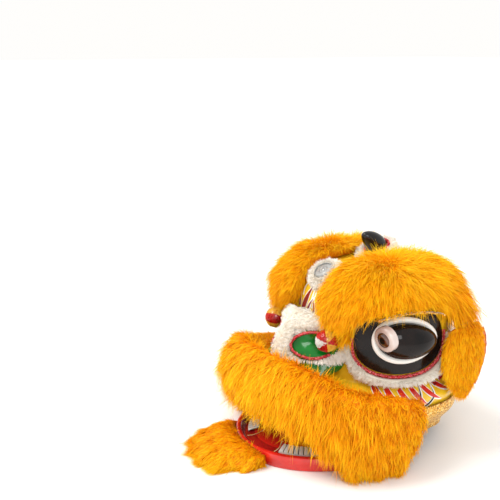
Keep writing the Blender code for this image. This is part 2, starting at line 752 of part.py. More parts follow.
def build_nose(group):
    def spot(share, angle):
        x, rise = NOSE_HALF_WIDTH * math.cos(angle), NOSE_HALF_HEIGHT * math.sin(angle)
        size = share / nose_size(x, rise)
        return x * size, NOSE_Z + rise * size

    def under(share, angle):
        at = nose_seat(*spot(share, angle))
        return at + normal_at(at) * (SEAT + 0.002)

    def over(share, angle):
        return nose_top(*spot(share, angle))

    mound("nose", under, over, (0.5, 1.0), (0.2, 0.38, 0.54, 0.7, 0.86, 1.0), "green", group)

    low, high = [], []
    for i in range(8):
        share = i / 7
        z = NOSE_Z - NOSE_HALF_HEIGHT * 0.52 + NOSE_HALF_HEIGHT * 1.40 * share
        half = 0.0175 + 0.040 * smooth((z - NOSTRIL_Z - NOSTRIL_HALF_HEIGHT * 0.9) / 0.014)
        inner, outer = [], []
        for j in range(7):
            x = half * (2.0 * j / 6 - 1.0)
            inner.append(off_nose(x, z, NOSE_FUR_STAND))
            thick = 0.005 + 0.008 * math.sin(math.pi * j / 6) + 0.003 * lock(j, i)
            outer.append(off_nose(x, z, NOSE_FUR_STAND + thick))
        low.append(inner)
        high.append(outer)
    pad("nose_fur", low, high, "white_fur", group)

    for side, word in ((1, "left"), (-1, "right")):
        path = []
        for k in range(20):
            angle = math.radians(84.0 + 238.0 * k / 19)
            x = NOSTRIL_X + NOSTRIL_HALF_WIDTH * math.cos(angle)
            path.append((x, NOSTRIL_Z + NOSTRIL_HALF_HEIGHT * math.sin(angle)))
        path = [nose_top(x, z, 0.0120) for x, z in path]
        piping(f"nostril_trim_{word}", path, 0.0032, "red_braid", group, side)

        at = nose_top(BALL_X, BALL_Z)
        out = unit(BALL_OUT)
        at, out = np.array((at[0] * side, at[1], at[2])), np.array((out[0] * side, out[1], out[2]))
        turned(f"pom_collar_{word}",
               [(0.0, COLLAR_SEAT), (COLLAR_RADIUS, COLLAR_SEAT), (COLLAR_RADIUS + 0.001, BALL_STAND_OFF - 0.002),
                (COLLAR_RADIUS, BALL_STAND_OFF - GAP), (0.0, BALL_STAND_OFF - GAP)],
               at, out, "white", group, 14)
        centre = BALL_STAND_OFF + math.sqrt(BALL_RADIUS**2 - 0.012**2)
        profile = [(0.0, BALL_STAND_OFF)]
        for k in range(7):
            angle = math.radians(-61.0 + 142.0 * k / 6)
            profile.append((BALL_RADIUS * math.cos(angle), centre + BALL_RADIUS * math.sin(angle)))
        profile.append((0.0, centre + BALL_RADIUS))
        turned(f"pom_ball_{word}", profile, at, out, "red", group, 14)


# Crown
def build_crown(group):
    up = (0.0, 0.0, 1.0)
    crown = crown_at(0.0, HORN_Y)
    axis = np.array((0.0, -math.sin(HORN_TILT), math.cos(HORN_TILT)))
    back = np.array((0.0, math.cos(HORN_TILT), math.sin(HORN_TILT)))
    base = crown + np.array((0.0, 0.0, HORN_STAND))
    fur_inner = HORN_RADIUS + 0.0034
    sections = []
    for k in range(16):
        angle = 2.0 * math.pi * k / 16
        puff = 0.004 * (k % 2)
        east, north = math.cos(angle), math.sin(angle)
        rim = base + np.array((east * fur_inner, 0.0, 0.0)) + back * north * fur_inner
        wide = HORN_FUR_RADIUS + puff
        foot_in = crown_at(rim[0], rim[1])
        foot_out = crown_at(east * wide, HORN_Y + north * wide)
        middle = base + np.array((east * (wide - 0.004), 0.0, 0.0)) + back * north * (wide - 0.004)
        sections.append([
            foot_in + np.array((0.0, 0.0, SEAT)),
            rim - axis * 0.002,
            rim + axis * 0.009 + np.array((east, north, 0.0)) * 0.003,
            middle + axis * (0.006 + puff),
            foot_out + np.array((0.0, 0.0, 0.010 + 0.010 * (1.0 + north))),
            foot_out + np.array((0.0, 0.0, SEAT)),
        ])
    loft("horn_fur", sections, "white_fur", group, closed=True)
    turned("horn_trim", [(0.0, 0.0), (HORN_RADIUS + 0.0030, 0.0), (HORN_RADIUS + 0.0032, 0.008),
                         (HORN_RADIUS + 0.001, 0.012), (0.0, 0.012)],
           base, axis, "red_braid", group, 16)
    sections = []
    for share in (0.0, 0.2, 0.42, 0.62, 0.8, 0.92, 0.98):
        radius = (HORN_RADIUS - 0.0015) * math.sqrt(1.0 - share**1.8)
        centre = base + axis * (0.012 + GAP + HORN_HEIGHT * share) - back * HORN_HEIGHT * HORN_CURL * share**2
        sections.append([
            centre + np.array((radius * math.cos(t), 0.0, 0.0)) + back * radius * math.sin(t)
            for t in (2.0 * math.pi * k / 16 for k in range(16))
        ])
    loft("horn", sections, "black", group)
    knob = crown_at(0.0, KNOB_Y)
    turned("crest_knob", [(0.0, SEAT), (KNOB_RADIUS * 0.8, SEAT), (KNOB_RADIUS, 0.008), (KNOB_RADIUS * 0.8, 0.017),
                          (KNOB_RADIUS * 0.35, 0.022), (0.0, 0.0225)],
           knob, up, "black", group, 14)

    face = skull(0.0, MIRROR_Z)
    out = normal_at(face)
    across = np.array((1.0, 0.0, 0.0))
    rise = np.cross(across, out)

    def patch(radius, angle, height):
        rough = face + across * radius * math.cos(angle) + rise * radius * math.sin(angle)
        at = onto_skull(rough)
        return at + normal_at(at) * height

    rim = MIRROR_RADIUS + 0.0045
    level = SEAT + 0.0165
    sections = []
    for k in range(16):
        angle = 2.0 * math.pi * k / 16
        flat = face + across * math.cos(angle) * (rim + 0.0012) + rise * math.sin(angle) * (rim + 0.0012)
        ragged = 0.003 * (k % 2)
        sections.append([
            patch(rim + 0.0012, angle, SEAT + 0.0005),
            flat + out * level,
            patch(rim + 0.007, angle, MIRROR_FUR_DEPTH + ragged),
            patch(MIRROR_FUR_RADIUS - 0.003, angle, MIRROR_FUR_DEPTH * 0.75 + ragged),
            patch(MIRROR_FUR_RADIUS + ragged, angle, 0.006),
            patch(MIRROR_FUR_RADIUS, angle, SEAT + 0.0005),
        ])
    loft("mirror_fur", sections, "white_fur", group, closed=True)
    turned("mirror_rim", [(0.0, SEAT + 0.0005), (rim - 0.0006, SEAT + 0.0005), (rim, level), (rim - 0.002, level + 0.003),
                          (MIRROR_RADIUS + GAP, level + 0.003), (MIRROR_RADIUS + GAP, level), (0.0, level)],
           face, out, "metal", group, 16)
    turned("mirror", [(0.0, level + GAP), (MIRROR_RADIUS, level + GAP), (MIRROR_RADIUS, level + 0.0018),
                      (0.008, level + 0.0028), (0.0, level + 0.0028)],
           face, out, "mirror", group, 16)


# Lower jaw
def board_edge(turn, inset=0.0):
    """The mouth board's outline, turn 0 in front, growing to the left, flat at the back."""
    side = math.sin(turn) * (BOARD_HALF_WIDTH - inset)
    fore = BOARD_MID_Y - math.cos(turn) * (BOARD_FRONT_REACH - inset)
    return side, min(fore, BOARD_BACK_Y - inset)


def board_floor(turn, share, lift=0.0):
    """The mouth board's floor, at a share of the way from the rim's foot to the middle, which lies higher."""
    x, y = board_edge(turn, BOARD_FLOOR_INSET)
    rise = min(1.0, share / BOARD_MOUND_SHARE)
    z = BOARD_FLOOR_Z + (BOARD_MOUND_Z - BOARD_FLOOR_Z) * rise
    return x * (1.0 - share), y + (BOARD_CENTRE_Y - y) * share, z + lift


def shell_inside(y, z, radius):
    """How far out the skull's inner wall starts over a round patch at a depth and a height."""
    shell = BVHTree.FromPolygons(*surface(bpy.data.objects["head_shell"]))
    spots = [(y, z)]
    spots += [(y + radius * math.cos(a), z + radius * math.sin(a)) for a in (math.pi * k / 4 for k in range(8))]
    return min(shell.ray_cast(Vector((0.1, *spot)), Vector((1.0, 0.0, 0.0)))[0].x for spot in spots)


def build_board(group, cutters):
    columns = 28
    turns = [math.radians(-97.0 + 194.0 * k / (columns - 1)) for k in range(columns)]
    rings = [(0.014, 0.0), (0.006, 0.0), (0.0, 0.006), (-0.003, BOARD_RIM_Z - 0.003), (0.0, BOARD_RIM_Z),
             (BOARD_RIM_WIDTH, BOARD_RIM_Z), (BOARD_RIM_WIDTH + 0.004, BOARD_FLOOR_Z + 0.004)]
    points, faces = [(0.0, BOARD_CENTRE_Y, BOARD_MOUND_Z - BOARD_WALL)], []
    for share in (BOARD_MOUND_SHARE, 0.03):
        points += [board_floor(t, share, -BOARD_WALL) for t in turns]
    for inset, z in rings:
        points += [(*board_edge(t, inset), z) for t in turns]
    for share in (0.0, BOARD_MOUND_SHARE):
        points += [board_floor(t, share) for t in turns]
    points.append((0.0, BOARD_CENTRE_Y, BOARD_MOUND_Z))
    count = len(rings) + 4
    faces += grid_faces(count, columns, 1, closed=True)
    faces += [(0, 1 + c, 1 + (c + 1) % columns) for c in range(columns)]
    last = 1 + (count - 1) * columns
    faces += [(len(points) - 1, last + c, last + (c + 1) % columns) for c in range(columns)]
    board = add_mesh("mouth_board", points, faces, "red", group)
    set_origin(board, (0.0, HINGE_Y, HINGE_Z))

    for side, word in ((1, "left"), (-1, "right")):
        low, high = [], []
        for i in range(13):
            turn = math.radians(22.0 + 56.0 * i / 12)
            inner, outer = [], []
            for share in TEETH_SHARES:
                inner.append(board_floor(turn, share, 2.0 * GAP))
                outer.append(board_floor(turn, share, 0.0055 + (0.0015 if i % 2 else 0.0)))
            low.append(inner)
            high.append(outer)
        teeth = pad(f"teeth_{word}", low, high, "white", group, side)
        set_origin(teeth, (0.0, HINGE_Y, HINGE_Z))

        turn = 10
        bar = []
        lower = (-0.028, BOARD_RIM_Z + 0.010)
        for k in range(turn):
            angle = math.radians(-60.0 + 180.0 * k / (turn - 1))
            bar.append((HINGE_Y + 0.012 * math.cos(angle), HINGE_Z + 0.012 * math.sin(angle)))
        bar += [(0.030, 0.080), (lower[0] - 0.004, lower[1]), (lower[0] - 0.004, BOARD_RIM_Z + GAP),
                (BOARD_BACK_Y - 0.004, BOARD_RIM_Z + GAP), (0.050, 0.072)]
        sections = [[(x, y, z) for y, z in bar] for x in (ARM_X - 0.5 * ARM_THICK, ARM_X + 0.5 * ARM_THICK)]
        arm = loft(f"jaw_arm_{word}", sections, "wood", group, side)
        set_origin(arm, (0.0, HINGE_Y, HINGE_Z))
        hole = turned(f"jaw_hole_{word}", [(0.0, -0.02), (PIN_RADIUS + PIN_CLEAR, -0.02), (PIN_RADIUS + PIN_CLEAR, 0.02),
                                           (0.0, 0.02)],
                      (ARM_X * side, HINGE_Y, HINGE_Z), (1.0, 0.0, 0.0), "wood", cutters, 12)
        hole.display_type = "WIRE"
        hole.hide_render = True
        subtract(arm, hole)

        inner_x = ARM_X - 0.5 * ARM_THICK - 0.004
        reach = shell_inside(HINGE_Y, HINGE_Z, PIN_BOSS_RADIUS) - 2.0 * GAP - inner_x
        profile = [(0.0, 0.0), (PIN_RADIUS, 0.0), (PIN_RADIUS, ARM_THICK + 0.0055),
                   (PIN_BOSS_RADIUS, ARM_THICK + 0.0055), (PIN_BOSS_RADIUS, reach), (0.0, reach)]
        turned(f"jaw_pin_{word}", profile, (inner_x * side, HINGE_Y, HINGE_Z), (side, 0.0, 0.0), "wood", group, 12)

    tongue_low, tongue_high = [], []
    for i in range(9):
        share = i / 8
        y = -0.092 - 0.100 * share
        half = 0.026 + 0.016 * math.sin(math.pi * min(1.0, share * 0.75)) - 0.022 * smooth((share - 0.75) / 0.25)
        inner, outer = [], []
        for j in range(5):
            x = half * (j / 2 - 1.0)
            inner.append((x, y, BOARD_MOUND_Z + GAP))
            outer.append((x, y, BOARD_MOUND_Z + 0.004 + 0.005 * (1.0 - (j / 2 - 1.0) ** 2)))
        tongue_low.append(inner)
        tongue_high.append(outer)
    tongue = pad("tongue", tongue_low, tongue_high, "red", group)
    set_origin(tongue, (0.0, HINGE_Y, HINGE_Z))


def build_beard(group):
    along, across = 17, 5
    low, high = [], []
    for i in range(along):
        share = i / (along - 1)
        turn = math.radians(-38.0 + 56.0 * share)
        ends = smooth(share / 0.25) * smooth((1.0 - share) / 0.25)
        length = 0.045 + 0.050 * ends + (0.014 if i % LOCK_ACROSS == 1 else 0.0)
        x0, y0 = board_edge(turn, -0.0042)
        inner, outer = [], []
        for j in range(across):
            t = j / (across - 1)
            spread = 1.0 + 0.25 * t
            x = x0 + (math.sin(turn) * length * spread * 0.6 - 0.008 * t) * t
            y = y0 - math.cos(turn) * length * t
            thick = 0.016 + 0.034 * math.sin(math.pi * (0.22 + 0.70 * t)) * (0.45 + 0.55 * ends)
            inner.append((x, y, 0.0))
            outer.append((x, y, max(0.007, thick + 0.006 * lock(i, j) - 0.010 * t)))
        low.append(inner)
        high.append(outer)
    beard = pad("beard_fur", low, high, "fur", group)
    set_origin(beard, (0.0, HINGE_Y, HINGE_Z))


# Ear
EAR_WIDTHS = [0.60, 0.84, 0.97, 1.00, 0.96, 0.85, 0.66, 0.42, 0.13]


def build_ear(group, side, word):
    hinge = np.array(EAR_HINGE)
    along = np.array((-math.sin(EAR_TURN), math.cos(EAR_TURN), 0.0))
    out = np.array((math.cos(EAR_TURN), math.sin(EAR_TURN), 0.0))
    down = unit(out * math.sin(EAR_FLARE) + np.array((0.0, 0.0, -1.0)) * math.cos(EAR_FLARE))
    face = unit(np.cross(down, along))
    face = face if face @ out > 0.0 else -face
    rows = len(EAR_WIDTHS)
    low, high, edge = [], [], []
    for r, width in enumerate(EAR_WIDTHS):
        share = r / (rows - 1)
        half = EAR_HALF_WIDTH * width
        middle = hinge + down * (0.006 + (EAR_LENGTH - 0.006) * share) + along * (0.010 - 0.036 * share)
        inner, outer = [], []
        for c in range(7):
            place = c / 3 - 1.0
            cup = -0.006 * place * place * width
            at = middle + along * half * place + face * cup
            thick = 0.004 + EAR_FUR * (1.0 - 0.75 * abs(place) ** 1.5) * min(1.0, width * 1.2)
            inner.append(at)
            outer.append(at + face * (thick + 0.004 * lock(c, r)))
        low.append(inner)
        high.append(outer)
        if 1 <= r <= rows - 2:
            edge.append(middle + along * (half + 0.0050) + face * (0.003 - 0.006 * width))
    ear = pad(f"ear_{word}", low, high, "fur", group, side)
    set_origin(ear, (hinge[0] * side, hinge[1], hinge[2]))
    piping(f"ear_rim_{word}", edge, 0.0032, "red_braid", group, side)


def build_ear_mount(group, side, word):
    """The rod that the ear turns on, with the stem that holds it off the skull."""
    hinge = np.array(EAR_HINGE)
    along = np.array((-math.sin(EAR_TURN), math.cos(EAR_TURN), 0.0))
    out = np.array((math.cos(EAR_TURN), math.sin(EAR_TURN), 0.0))
    up = np.array((0.0, 0.0, 1.0))
    shell = BVHTree.FromPolygons(*surface(bpy.data.objects["head_shell"]))
    sections = []
    for along_rod in (-0.5 * EAR_ROD_LENGTH, 0.5 * EAR_ROD_LENGTH):
        ring = []
        for k in range(8):
            angle = math.radians(-110.0 + 300.0 * k / 7)
            ring.append(hinge + along * along_rod + (out * math.cos(angle) + up * math.sin(angle)) * EAR_ROD_RADIUS)
        for drop in (EAR_STEM_DROP, EAR_STEM_DROP + 2.0 * EAR_ROD_RADIUS):
            corner = hinge + along * along_rod - up * drop
            hit = shell.ray_cast(Vector(corner), Vector(-out))[0]
            ring.append(np.array(hit) + out * 3.5 * GAP)
        sections.append(ring)
    loft(f"ear_mount_{word}", sections, "wood", group, side)


def settle_pieces():
    """Seats each piece on what carries it."""
    settle(["neck_cloth"], "head_shell", (0.0, -1.0, 0.0))
    settle(["lip_fur"], "head_shell", (0.0, 1.0, 0.0))
    settle(["nose", "nose_fur", "nostril_trim_left", "nostril_trim_right", "pom_collar_left", "pom_collar_right",
            "pom_ball_left", "pom_ball_right"], "head_shell", (0.0, 1.0, 0.0))
    settle(["nose_fur"], "nose", (0.0, 0.8, -0.6))
    settle(["horn_fur", "horn_trim", "horn"], "head_shell", (0.0, 0.0, -1.0))
    settle(["crest_knob"], "head_shell", (0.0, 0.0, -1.0))
    inward = -normal_at(skull(0.0, MIRROR_Z))
    settle(["mirror_fur"], "head_shell", inward)
    settle(["mirror_rim", "mirror"], "head_shell", inward)
    settle(["beard_fur"], "mouth_board", (0.0, 1.0, 0.0))
    for side, word in ((1.0, "left"), (-1.0, "right")):
        flip = np.array((side, 1.0, 1.0))
        inward = -normal_at(eye_point(0.0, 0.0)) * flip
        bulb = [f"eye_bulb_{word}", f"pupil_cup_{word}", f"iris_{word}", f"cup_seat_{word}"]
        round_eye = [f"eye_ring_{word}", f"eye_trim_{word}", f"eye_fur_{word}"]
        settle([f"eye_plate_{word}", *round_eye, *bulb], "head_shell", inward)
        settle([f"eye_ring_{word}"], f"eye_plate_{word}", inward)
        settle(bulb, f"eye_plate_{word}", inward)
        inward = -normal_at(onto_skull((0.14, 0.02, 0.40))) * flip
        settle([f"brow_fur_{word}"], "head_shell", inward)
        inward = -unit(BALL_OUT) * flip
        settle([f"nostril_trim_{word}"], "nose", inward)
        settle([f"pom_collar_{word}", f"pom_ball_{word}"], "nose", inward)


def build():
    clear_scene()
    group = collection("lion_dance_head")
    cutters = collection("cutters")
    build_shell(group)
    build_cloth(group)
    build_lip(group)
    for side, word in ((1, "left"), (-1, "right")):
        build_brow(group, side, f"brow_fur_{word}")
        build_eye(group, cutters, side, word)
        build_ear(group, side, word)
        build_ear_mount(group, side, word)
    build_nose(group)
    build_crown(group)
    build_board(group, cutters)
    build_beard(group)
    settle_pieces()
    for made in bpy.data.objects:
        made.location.y += SLIDE_Y


build()
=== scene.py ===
import math

import bmesh
import bpy
import numpy as np
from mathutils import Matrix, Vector
from mathutils.kdtree import KDTree


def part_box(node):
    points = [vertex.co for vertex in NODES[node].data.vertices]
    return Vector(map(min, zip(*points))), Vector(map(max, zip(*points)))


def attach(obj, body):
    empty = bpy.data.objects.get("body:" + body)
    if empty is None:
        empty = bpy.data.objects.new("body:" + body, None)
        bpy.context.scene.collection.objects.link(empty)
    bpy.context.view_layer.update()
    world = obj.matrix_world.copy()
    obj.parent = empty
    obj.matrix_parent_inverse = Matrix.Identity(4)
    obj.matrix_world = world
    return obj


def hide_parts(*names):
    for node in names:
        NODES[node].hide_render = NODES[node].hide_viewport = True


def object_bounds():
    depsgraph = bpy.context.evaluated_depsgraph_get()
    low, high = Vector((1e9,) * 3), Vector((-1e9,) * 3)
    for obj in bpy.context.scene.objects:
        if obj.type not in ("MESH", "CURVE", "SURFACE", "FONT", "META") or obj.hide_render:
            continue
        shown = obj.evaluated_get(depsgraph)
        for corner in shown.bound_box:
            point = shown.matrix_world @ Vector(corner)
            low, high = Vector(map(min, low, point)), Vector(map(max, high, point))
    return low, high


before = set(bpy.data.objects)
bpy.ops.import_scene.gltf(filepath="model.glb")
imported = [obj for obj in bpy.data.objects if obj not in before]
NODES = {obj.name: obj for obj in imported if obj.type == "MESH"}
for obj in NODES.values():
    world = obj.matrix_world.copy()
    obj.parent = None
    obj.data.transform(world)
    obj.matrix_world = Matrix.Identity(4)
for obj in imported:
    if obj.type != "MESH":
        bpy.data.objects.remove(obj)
CAD_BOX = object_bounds()

# Skull sizes, as in the part's source. Metres, Z up, face towards -Y
SLIDE_Y = 0.0677
SKULL_HALF_WIDTH = 0.205
SKULL_MID_Y = 0.070 + SLIDE_Y
SKULL_FRONT_REACH = 0.185
SKULL_BACK_REACH = 0.190
SHOULDER_Z = 0.170
DOME_RISE = 0.255
PLAN_POWER = 2.3
DOME_POWER = 4.0
SNOUT_TOP_Z = 0.188
SNOUT_FULL_Z = 0.150
SNOUT_REACH = 0.125
SNOUT_WIDENING = 0.034
CORE_Z = 0.260
SHELL_WALL = 0.003
SHELL_EDGE_FRONT_Z = 0.142
SHELL_EDGE_REAR_Z = 0.122

# Eye sizes
EYE_TURN = math.radians(74.0)
EYE_Z = 0.282
EYE_ARC = 0.205
PLATE_FRONT = 0.120
PLATE_REAR = 0.104
PLATE_HALF_HEIGHT = 0.073
PLATE_TOP = 0.0064
RING_HALF_LENGTH = 0.081
RING_HALF_HEIGHT = 0.052
RING_RAISE = 0.005
RING_WIDTH = 0.012
RING_DEPTH = 0.004
RING_LOW = 0.0078
BULB_DEPTH = 0.040
TRIM_RADIUS = 0.0034
LID_AXIS_OUT = 0.020
LID_RADIUS = 0.071
LID_HALF_LENGTH = 0.082
LID_CROWN = 0.150
LID_WALL = 0.002

# Neck cloth sizes
CLOTH_TOP_Z = 0.134
CLOTH_BOTTOM_Z = 0.056
CLOTH_TUCK = 0.034
CLOTH_WALL = 0.0016

# Nose sizes
NOSE_HALF_WIDTH = 0.112
NOSE_Z = 0.256
NOSE_HALF_HEIGHT = 0.068
NOSE_DEPTH = 0.078
NOSE_LOBE_DEPTH = 0.040
NOSE_LOBE_X = 0.080
NOSE_LOBE_Z = 0.208
DENT_DEPTH = 0.032
DENT_X = 0.068
DENT_Z = 0.272
NOSTRIL_X = 0.064
NOSTRIL_Z = 0.266
NOSTRIL_HALF_WIDTH = 0.036
NOSTRIL_HALF_HEIGHT = 0.026

# Mouth board sizes
BOARD_HALF_WIDTH = 0.198
BOARD_MID_Y = -0.030 + SLIDE_Y
BOARD_FRONT_REACH = 0.256
BOARD_BACK_Y = SLIDE_Y
BOARD_RIM_Z = 0.034
BOARD_FLOOR_Z = 0.020
BOARD_FLOOR_INSET = 0.020
BOARD_MOUND_Z = 0.034
BOARD_MOUND_SHARE = 0.35
BOARD_CENTRE_Y = BOARD_MID_Y - 0.09
BOARD_WALL = 0.006
TEETH_LOW = 0.05
TEETH_HIGH = 0.23
TEETH_COUNT = 15
TONGUE_BACK_Y = -0.092 + SLIDE_Y
TONGUE_LENGTH = 0.100

# Ear sizes
EAR_HINGE = np.array((0.216, 0.172 + SLIDE_Y, 0.302))
EAR_WIDTHS = (0.60, 0.84, 0.97, 1.00, 0.96, 0.85, 0.66, 0.42, 0.13)
EAR_HALF_WIDTH = 0.078
EAR_LENGTH = 0.159
EAR_DROP = 0.006
EAR_FORWARD = 0.010
EAR_SWEEP = 0.036

# Fur and sequins
HAIR_LEVELS = (0.0, 0.45, 1.0)
HAIR_PAST_BOX = (0.022, 0.024, 0.012)
NOSE_BAND_Z = 0.232
NOSE_BAND_RAISE = 0.0035
SEQUIN_RADIUS = 0.0018

# Camera: where it stands and the way it looks, fitted to the photograph
CAMERA_PLACE = (1.4661, -1.1625, 0.9247)
CAMERA_WAY = (-0.8145, 0.5285, -0.2393)
CAMERA_LENS = 59.04

DENSITY = 1.0
SHARP_ANGLE = math.radians(40.0)
SIDES = ((1, "left"), (-1, "right"))


def unit(v):
    return np.array(v) / np.linalg.norm(v)


def units(rows):
    """Each row of an array at a length of one."""
    return rows / np.maximum(np.linalg.norm(rows, axis=1), 1e-9)[:, None]


def smooth(share):
    held = min(1.0, max(0.0, share))
    return held * held * (3.0 - 2.0 * held)


# Skull surface
def snout_share(z):
    return smooth((SNOUT_TOP_Z - z) / (SNOUT_TOP_Z - SNOUT_FULL_Z))


def plan_radius(turn, z):
    swell = snout_share(z) * (0.5 + 0.5 * smooth(0.5 + math.cos(turn)))
    across = SKULL_HALF_WIDTH + SNOUT_WIDENING * snout_share(z) * smooth(1.1 + math.cos(turn))
    reach = SKULL_FRONT_REACH + SNOUT_REACH * swell if math.cos(turn) > 0.0 else SKULL_BACK_REACH
    side = (abs(math.sin(turn)) / across) ** PLAN_POWER
    fore = (abs(math.cos(turn)) / reach) ** PLAN_POWER
    return (side + fore) ** (-1.0 / PLAN_POWER)


def dome_share(z):
    rise = max(0.0, (z - SHOULDER_Z) / DOME_RISE)
    return max(0.0, 1.0 - rise**DOME_POWER) ** (1.0 / DOME_POWER)


def skull(turn, z):
    out = plan_radius(turn, z) * dome_share(z)
    return np.array((out * math.sin(turn), SKULL_MID_Y - out * math.cos(turn), z))


def inside(point):
    x, y, z = point[0], point[1] - SKULL_MID_Y, point[2]
    top = dome_share(z)
    if top < 1e-6:
        return 9.0
    return math.hypot(x, y) / (plan_radius(math.atan2(x, -y), z) * top)


def shoot(origin, direction):
    start, way = np.array(origin), unit(direction)
    near, far = 0.0, 0.6
    for _ in range(30):
        middle = 0.5 * (near + far)
        if inside(start + way * middle) < 1.0:
            near = middle
        else:
            far = middle
    return start + way * near


def normal_at(point):
    core = np.array((0.0, SKULL_MID_Y, CORE_Z))
    way = unit(point - core)
    aside = unit(np.cross(way, (0.0, 0.13, 1.0)))
    up = np.cross(aside, way)
    step = 0.02
    east = shoot(core, way + aside * step) - shoot(core, way - aside * step)
    north = shoot(core, way + up * step) - shoot(core, way - up * step)
    found = unit(np.cross(east, north))
    return found if found @ way > 0.0 else -found


def eye_point(a, b, out=0.0):
    at = skull(EYE_TURN + a / EYE_ARC, EYE_Z + b)
    return at + normal_at(at) * out


def plate_edge(angle, spread=0.0):
    reach = (PLATE_REAR if math.cos(angle) > 0.0 else PLATE_FRONT) + spread
    height = PLATE_HALF_HEIGHT + spread
    power = 2.4
    across, rise = abs(math.cos(angle)) / reach, abs(math.sin(angle)) / height
    size = (across**power + rise**power) ** (-1.0 / power)
    return size * math.cos(angle), size * math.sin(angle)


def ring_edge(angle, spread=0.0):
    narrow = 1.0 - 0.16 * math.cos(angle)
    a = (RING_HALF_LENGTH + spread) * math.cos(angle)
    b = RING_RAISE + (RING_HALF_HEIGHT + spread) * math.sin(angle) * narrow - 0.05 * a
    return a, b


def nose_seat(x, z):
    return shoot((x, SKULL_MID_Y, z), (0.0, -1.0, 0.0))


def nose_size(x, rise):
    power = 3.5 if rise < 0.0 else 2.0
    return ((abs(x) / NOSE_HALF_WIDTH) ** power + (abs(rise) / NOSE_HALF_HEIGHT) ** power) ** (1.0 / power)


def nose_top(x, z, out=0.0):
    at = nose_seat(x, z)
    share = nose_size(x, z - NOSE_Z)
    climb = min(1.0, max(0.0, (z - NOSE_Z + NOSE_HALF_HEIGHT) / (2.0 * NOSE_HALF_HEIGHT)))
    ridge = max(0.0, 1.0 - (abs(x) / NOSE_HALF_WIDTH) ** 1.4)
    body = NOSE_DEPTH * ridge * max(0.0, math.sin(math.pi * climb**0.7)) ** 0.6
    hold = min(1.0, max(0.0, (1.0 - share) / 0.14))
    lobe = math.exp(-(((abs(x) - NOSE_LOBE_X) / 0.026) ** 2) - ((z - NOSE_LOBE_Z) / 0.020) ** 2)
    lobe *= NOSE_LOBE_DEPTH * hold
    dent = DENT_DEPTH * hold * math.exp(-(((abs(x) - DENT_X) / 0.026) ** 2) - ((z - DENT_Z) / 0.018) ** 2)
    skin = at + normal_at(at) * (0.0064 + body + lobe - dent + out)
    return skin - np.array((0.0, 0.0, 0.4 * lobe))


def board_edge(turn, inset=0.0):
    side = math.sin(turn) * (BOARD_HALF_WIDTH - inset)
    fore = BOARD_MID_Y - math.cos(turn) * (BOARD_FRONT_REACH - inset)
    return side, min(fore, BOARD_BACK_Y - inset)


def board_floor(turn, share, lift=0.0):
    x, y = board_edge(turn, BOARD_FLOOR_INSET)
    rise = min(1.0, share / BOARD_MOUND_SHARE)
    z = BOARD_FLOOR_Z + (BOARD_MOUND_Z - BOARD_FLOOR_Z) * rise
    return np.array((x * (1.0 - share), y + (BOARD_CENTRE_Y - y) * share, z + lift))


# Materials
def material(name, color, roughness, **settings):
    """A Principled material. settings are socket names with underscores for spaces."""
    made = bpy.data.materials.new(name)
    made.use_nodes = True
    shader = made.node_tree.nodes["Principled BSDF"]
    shader.inputs["Base Color"].default_value = (*color, 1.0)
    shader.inputs["Roughness"].default_value = roughness
    for key, value in settings.items():
        shader.inputs[key.replace("_", " ")].default_value = value
    return made


def node(made, kind, **settings):
    added = made.node_tree.nodes.new(kind)
    for key, value in settings.items():
        setattr(added, key, value)
    return added


def link(made, start, end):
    made.node_tree.links.new(start, end)


def shader_of(made):
    return made.node_tree.nodes["Principled BSDF"]


def texture(made, kind, scale):
    """A texture node laid on the piece's own coordinates."""
    place = node(made, "ShaderNodeTexCoord")
    added = node(made, kind)
    added.inputs["Scale"].default_value = scale
    link(made, place.outputs["Object"], added.inputs["Vector"])
    return added


def noise(made, scale, detail=4.0):
    added = texture(made, "ShaderNodeTexNoise", scale)
    added.inputs["Detail"].default_value = detail
    return added.outputs["Fac"]


def tint(made, value, stops):
    """The base colour, read from a value by a row of colour stops."""
    added = node(made, "ShaderNodeValToRGB")
    band = added.color_ramp
    while len(band.elements) < len(stops):
        band.elements.new(0.5)
    for element, (place, color) in zip(band.elements, stops):
        element.position = place
        element.color = (*color, 1.0)
    link(made, value, added.inputs["Fac"])
    link(made, added.outputs["Color"], shader_of(made).inputs["Base Color"])


def bump(made, height, distance):
    added = node(made, "ShaderNodeBump")
    added.inputs["Distance"].default_value = distance
    added.inputs["Strength"].default_value = 1.0
    link(made, height, added.inputs["Height"])
    link(made, added.outputs["Normal"], shader_of(made).inputs["Normal"])


def paint(name, dark, light, roughness, ripple=0.0004, coat=0.5, shine=0.5):
    """Brushed gloss paint: slight colour variation and the ripple of the paper under it."""
    made = material(name, light, roughness, Coat_Weight=coat, Coat_Roughness=0.06, Specular_IOR_Level=shine)
    tint(made, noise(made, 18.0), [(0.35, dark), (0.62, light)])
    bump(made, noise(made, 70.0, 3.0), ripple)
    return made


def fur_material(name, stops, sheen):
    made = material(name, stops[-1][1], 0.55, Sheen_Weight=sheen, Sheen_Roughness=0.4,
                    Specular_IOR_Level=0.12)
    tint(made, node(made, "ShaderNodeAttribute", attribute_name="tone").outputs["Fac"], stops)
    return made


def cell_material(name, colors, roughness, scale, metallic, depth):
    """Small cells, each with its own tone, for sequins and brocade. The lightest cells are painted glints."""
    made = material(name, colors[-1][1], roughness, Metallic=metallic)
    cells = texture(made, "ShaderNodeTexVoronoi", scale)
    split = node(made, "ShaderNodeSeparateColor")
    link(made, cells.outputs["Color"], split.inputs["Color"])
    tint(made, split.outputs["Red"], colors)
    bump(made, cells.outputs["Distance"], depth)
    return made


def brushed(name, dark, light, roughness):
    made = material(name, light, roughness, Metallic=1.0)
    grain = noise(made, 240.0, 2.0)
    tint(made, grain, [(0.3, dark), (0.7, light)])
    bump(made, grain, 0.00015)
    return made


